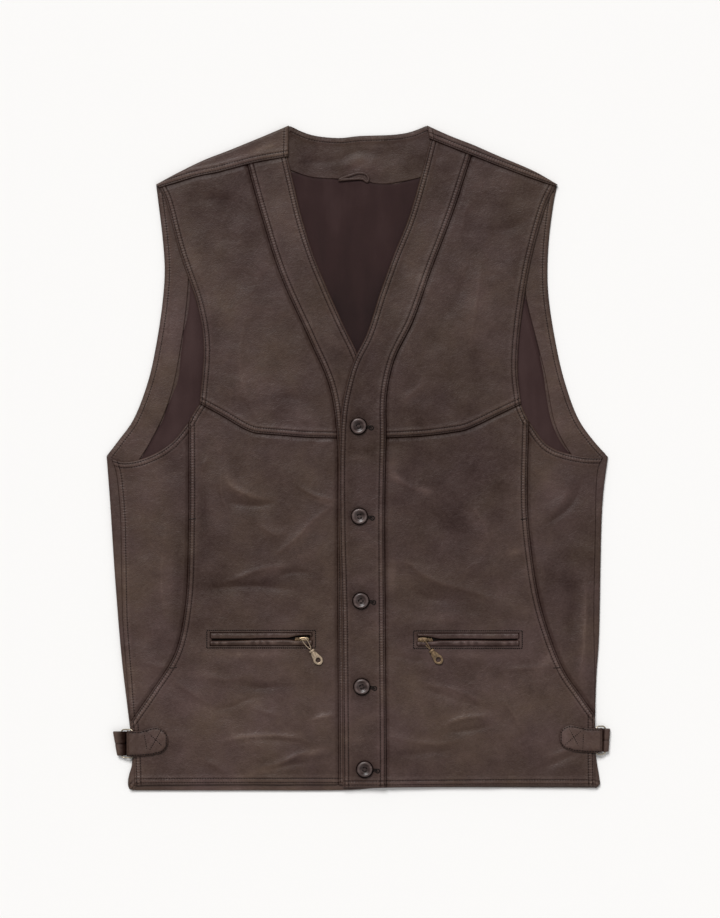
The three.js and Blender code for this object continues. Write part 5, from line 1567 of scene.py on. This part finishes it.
# Side adjusters
def build_adjuster(side):
    """A side adjuster: tab over a metal ring, and the strap that turns round it."""
    fit = ADJUSTERS[side]
    out = OUT[side]
    width = fit["top"] - fit["foot"]
    middle = (fit["top"] + fit["foot"]) / 2

    # The tab: rows across it from the hook's foot, over the arch, to the round end
    bow = fit["round"]
    runs = np.concatenate([np.linspace(fit["hook_end"], -fit["plate_end"] + bow, 60),
                           -fit["plate_end"] + bow * (1 - np.sin(np.linspace(0.06, 1, 22) * math.pi / 2))])
    marks = [-fit["plate_end"], -fit["plate_end"] + 3, -30, -22, -9, fit["hook_end"]]
    crown, top, foot = fit["crown"], fit["top"], fit["foot"]
    upper = np.interp(runs, marks, [crown - 11, crown - 4, crown, crown - 0.6, top, top])
    lower = np.interp(runs, marks, [crown - 16, crown - 22, foot + 4, foot + 1.2, foot, foot])
    round_end = np.clip((runs + fit["plate_end"]) / bow, 0, 1)
    squeeze = np.sqrt(np.clip(1 - (1 - round_end) ** 2, 0.0, 1))
    centre = (upper + lower) / 2
    half = (upper - lower) / 2
    half = np.where(round_end < 1, np.interp(bow - fit["plate_end"], runs[::-1], half[::-1]) * squeeze, half)
    centre = np.where(round_end < 1, np.interp(bow - fit["plate_end"], runs[::-1], centre[::-1]), centre)
    arch = (TAB["arch"] - TAB["base"] - TAB["thick"]) * ease(-9, -1, runs)
    fall = -3.4 * ease(fit["hook_end"] - 3.2, fit["hook_end"], runs)
    grid_y = centre[:, None] + half[:, None] * TAB_ACROSS[None, :]
    depth = half[:, None] * (1 - np.abs(TAB_ACROSS))[None, :]
    end_depth = (runs + fit["plate_end"])[:, None] * np.ones_like(depth)
    inset = np.minimum(depth, end_depth)
    edge_round = -1.5 * np.clip(1 - inset / 1.6, 0, 1) ** 2
    border = 1.7
    surface = TAB["base"] + TAB["thick"] + arch[:, None] + fall[:, None] + edge_round
    surface = surface - 0.28 * bell(inset, border, 0.5)
    surface = surface + 0.2 * bell(inset, 4.6, 1.8) + 0.12 * np.sin(0.9 * runs[:, None] + grid_y * 0.5)
    # Painted shade at the tab's edge and in the groove of its border stitching; paler toward the round end
    tone = 0.34 - 0.95 * bell(inset, border, 0.75)
    tone = tone - 0.5 * np.clip(1 - inset / 0.8, 0, 1) + 0.15 * ease(-18, -24, runs)[:, None]
    grid_x = np.broadcast_to((fit["edge"] + out * runs)[:, None], grid_y.shape)
    places = np.column_stack([grid_x.ravel(), grid_y.ravel(), surface.ravel()])
    index = np.arange(surface.size).reshape(surface.shape)
    quads = np.stack([index[:-1, :-1], index[1:, :-1], index[1:, 1:], index[:-1, 1:]], axis=-1).reshape(-1, 4)
    if out > 0:
        quads = quads[:, ::-1]
    loop = np.concatenate([index[:-1, 0], index[-1, :-1], index[:0:-1, -1], index[0, :0:-1]])
    under = places[loop] - [0, 0, 1.0]
    count = len(places)
    ring = count + np.arange(len(loop))
    skirt = np.stack([loop, np.roll(loop, -1), np.roll(ring, -1), ring], axis=-1)
    if out > 0:
        skirt = skirt[:, ::-1]
    tab = mesh_object(f"leather_tab_{side}", np.vstack([places, under]),
                      np.vstack([quads, skirt]).tolist(), LEATHER, "leather")
    set_tone(tab, np.concatenate([tone.ravel(), tone.ravel()[loop] - 0.3]))
    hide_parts(f"side_tab_{side}")

    def tab_height(points):
        face = TAB["base"] + TAB["thick"]
        return face - 0.02 + (TAB["arch"] - face) * ease(-9, -1, (points[:, 0] - fit["edge"]) * out)

    order = np.argsort(-runs)
    order = order[(runs[order] < fit["hook_end"] - 2.5) & (runs[order] > border - fit["plate_end"])]
    row_x = fit["edge"] + out * runs[order]
    upper_row = np.column_stack([row_x, (centre + half - border)[order]])
    lower_row = np.column_stack([row_x, (centre - half + border)[order]])
    apart = upper_row[:, 1] > lower_row[:, 1] + 0.4
    border_line = np.vstack([upper_row[apart], lower_row[apart][::-1]])
    add_stitches(row_spots(border_line, tab_height, pitch=2.7))
    for ends in (fit["bar"], fit["cross"][:2], fit["cross"][2:]):
        line = even(np.array([[fit["edge"] + out * run, y] for run, y in ends]), 1)
        add_stitches(row_spots(line, tab_height, pitch=2.1), 0.95)

    # The strap: from under the side fold, round the ring and back
    top = 0.4 + 2 * WALL + 2 * 1.1 + 2 * 0.3
    bend = (top - 0.4) / 2
    turn = np.radians(np.linspace(-90, 90, 15))
    section = [(fit["strap_root"], 0.4)] + [
        (fit["strap_to"] - bend + bend * math.cos(a), 0.4 + bend + bend * math.sin(a)) for a in turn]
    section += [(fit["strap_from"] + 2, top), (fit["strap_from"], top - 0.4), (fit["strap_from"], top - WALL)]
    inner = bend - WALL
    section += [
        (fit["strap_to"] - bend + inner * math.cos(a), 0.4 + bend + inner * math.sin(a)) for a in turn[::-1]]
    section += [(fit["strap_root"], 0.4 + WALL)]
    section = np.array(section)
    core = np.array([fit["strap_to"] - bend - 1.0, 0.4 + bend])
    swell = 1 - 0.10 * np.clip((np.abs(STRAP_ROWS) - 0.86) / 0.14, 0, 1) ** 2
    swell = swell - 0.10 * bell(STRAP_ROWS, 0, 0.07)
    strap_places, strap_tone = [], []
    for row, size in zip(STRAP_ROWS, swell):
        ring_places = core + (section - core) * size
        ring_places[:, 1] = np.maximum(ring_places[:, 1], 0.2)
        lean = fit["lean"] * row * ease(fit["strap_root"], fit["strap_to"], ring_places[:, 0])
        strap_places.append(np.column_stack([
            fit["edge"] + out * (ring_places[:, 0] + lean),
            np.full(len(section), middle + row * (width / 2 - 1)), ring_places[:, 1]]))
        # Painted shadow where the strap dips beside the ring under the tab, and painted shade in the dip
        # along its middle
        dark = ease(fit["painted_shadow_to"], fit["painted_shadow_to"] - 1.5, ring_places[:, 0])
        strap_tone.append(0.3 - 0.9 * bell(row, 0, 0.05) - 1.6 * dark)
    faces = ring_faces(len(STRAP_ROWS), len(section))
    if out < 0:
        faces = [face[::-1] for face in faces]
    strap = mesh_object(f"leather_strap_{side}", np.vstack(strap_places), faces, LEATHER, "leather")
    set_tone(strap, np.concatenate(strap_tone))
    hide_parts(f"side_strap_{side}")

    # The ring
    quarter = np.linspace(0, math.pi / 2, 7)
    half_across = (fit["ring_out"] - fit["ring_in"]) / 2
    half_along = RING["length"] / 2 - RING["wire"]
    corner = RING["corner"]
    path = []
    for number, (side_x, side_y) in enumerate(((1, 1), (-1, 1), (-1, -1), (1, -1))):
        for angle in quarter:
            a = angle + number * math.pi / 2
            path.append((side_x * (half_across - corner) + corner * math.cos(a),
                         side_y * (half_along - corner) + corner * math.sin(a)))
    path = np.array(path)
    share = (path[:, 0] + half_across) / (2 * half_across)
    heights = RING["height_in"] + (RING["height_out"] - RING["height_in"]) * share
    centre_run = (fit["ring_in"] + fit["ring_out"]) / 2
    line = np.column_stack([fit["edge"] + out * (centre_run + path[:, 0]), middle + path[:, 1], heights])
    ring = mesh_object(f"steel_ring_{side}", *swept(line, RING["wire"], 12, closed=True), STEEL, "steel")
    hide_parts(f"side_ring_{side}")


for side in SIDES:
    build_adjuster(side)


def build_hanger():
    """The small leather loop at the foot of the neck facing."""
    left, right, foot = HANGER["left"], HANGER["right"], HANGER["foot"]
    half = HANGER["band"] / 2
    upper = [[left + 1, foot], [left + 7, foot + 3], [left + 15, foot + 5.8], [right - 9, foot + 7.6],
             [right - 2, foot + 6.4], [right + 1, foot + 2], [right - 0.5, foot - 1.5]]
    lower = [[right - 5, foot + 1.2], [left + 14, foot + 1.2], [left + 1, foot]]
    line = smooth(upper + lower, 8)[:-1]
    path = np.column_stack([line, np.full(len(line), INSIDE_HEIGHT + 1.0)])
    places, faces = swept(path, half, 10, closed=True, flat=0.5)
    loop = mesh_object("leather_hanger_loop", places, faces, LEATHER, "leather")
    set_tone(loop, np.full(len(places), -0.1))
    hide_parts("hanger_loop")


build_hanger()
mesh_object("stitches", np.array(threads["places"]), threads["faces"], THREAD, "leather")


# Floor, light and camera
def plane(name, size, height, colour):
    """A flat square that isn't part of the vest."""
    mesh = bpy.data.meshes.new(name)
    half = size / 2
    corners = [(-half, -half, height), (half, -half, height), (half, half, height), (-half, half, height)]
    mesh.from_pydata(corners, [], [(0, 1, 2, 3)])
    material, tree, shader = tree_of(name)
    shader.inputs["Base Color"].default_value = (*colour, 1)
    shader.inputs["Roughness"].default_value = 0.9
    shader.inputs["Specular IOR Level"].default_value = 0.0
    mesh.materials.append(material)
    obj = bpy.data.objects.new(name, mesh)
    bpy.context.scene.collection.objects.link(obj)
    return obj


def soft_sun(name, direction, angle, strength, colour=(1, 1, 1)):
    """An even soft light that comes from a direction."""
    light = bpy.data.lights.new(name, "SUN")
    light.angle = math.radians(angle)
    light.energy = strength
    light.color = colour
    obj = bpy.data.objects.new(name, light)
    obj.rotation_euler = Vector(direction).to_track_quat("Z", "Y").to_euler()
    bpy.context.scene.collection.objects.link(obj)
    return obj


FLOOR_SIZE = 12.0
FLOOR_COLOUR = (0.877, 0.867, 0.855)
CAMERA = {"distance": 3.0, "lens": 112.0, "x": 0.0021, "y": -0.00105}
plane("floor", FLOOR_SIZE, -0.0004, FLOOR_COLOUR)
soft_sun("key", (-0.25, 0.78, 1.0), 26, 2.70)
soft_sun("fill", (0.7, -0.5, 1.0), 60, 0.42)

scene = bpy.context.scene
world = bpy.data.worlds.new("studio")
world.use_nodes = True
world.node_tree.nodes["Background"].inputs["Color"].default_value = (1.0, 1.0, 1.0, 1)
world.node_tree.nodes["Background"].inputs["Strength"].default_value = 0.34
scene.world = world
scene.view_settings.view_transform = "Standard"

camera = bpy.data.cameras.new("camera")
camera.lens = CAMERA["lens"]
camera.sensor_width = 36
camera.dof.use_dof = False
camera.clip_end = 20
viewer = bpy.data.objects.new("camera", camera)
viewer.location = (CAMERA["x"], CAMERA["y"], CAMERA["distance"])
scene.collection.objects.link(viewer)
scene.camera = viewer
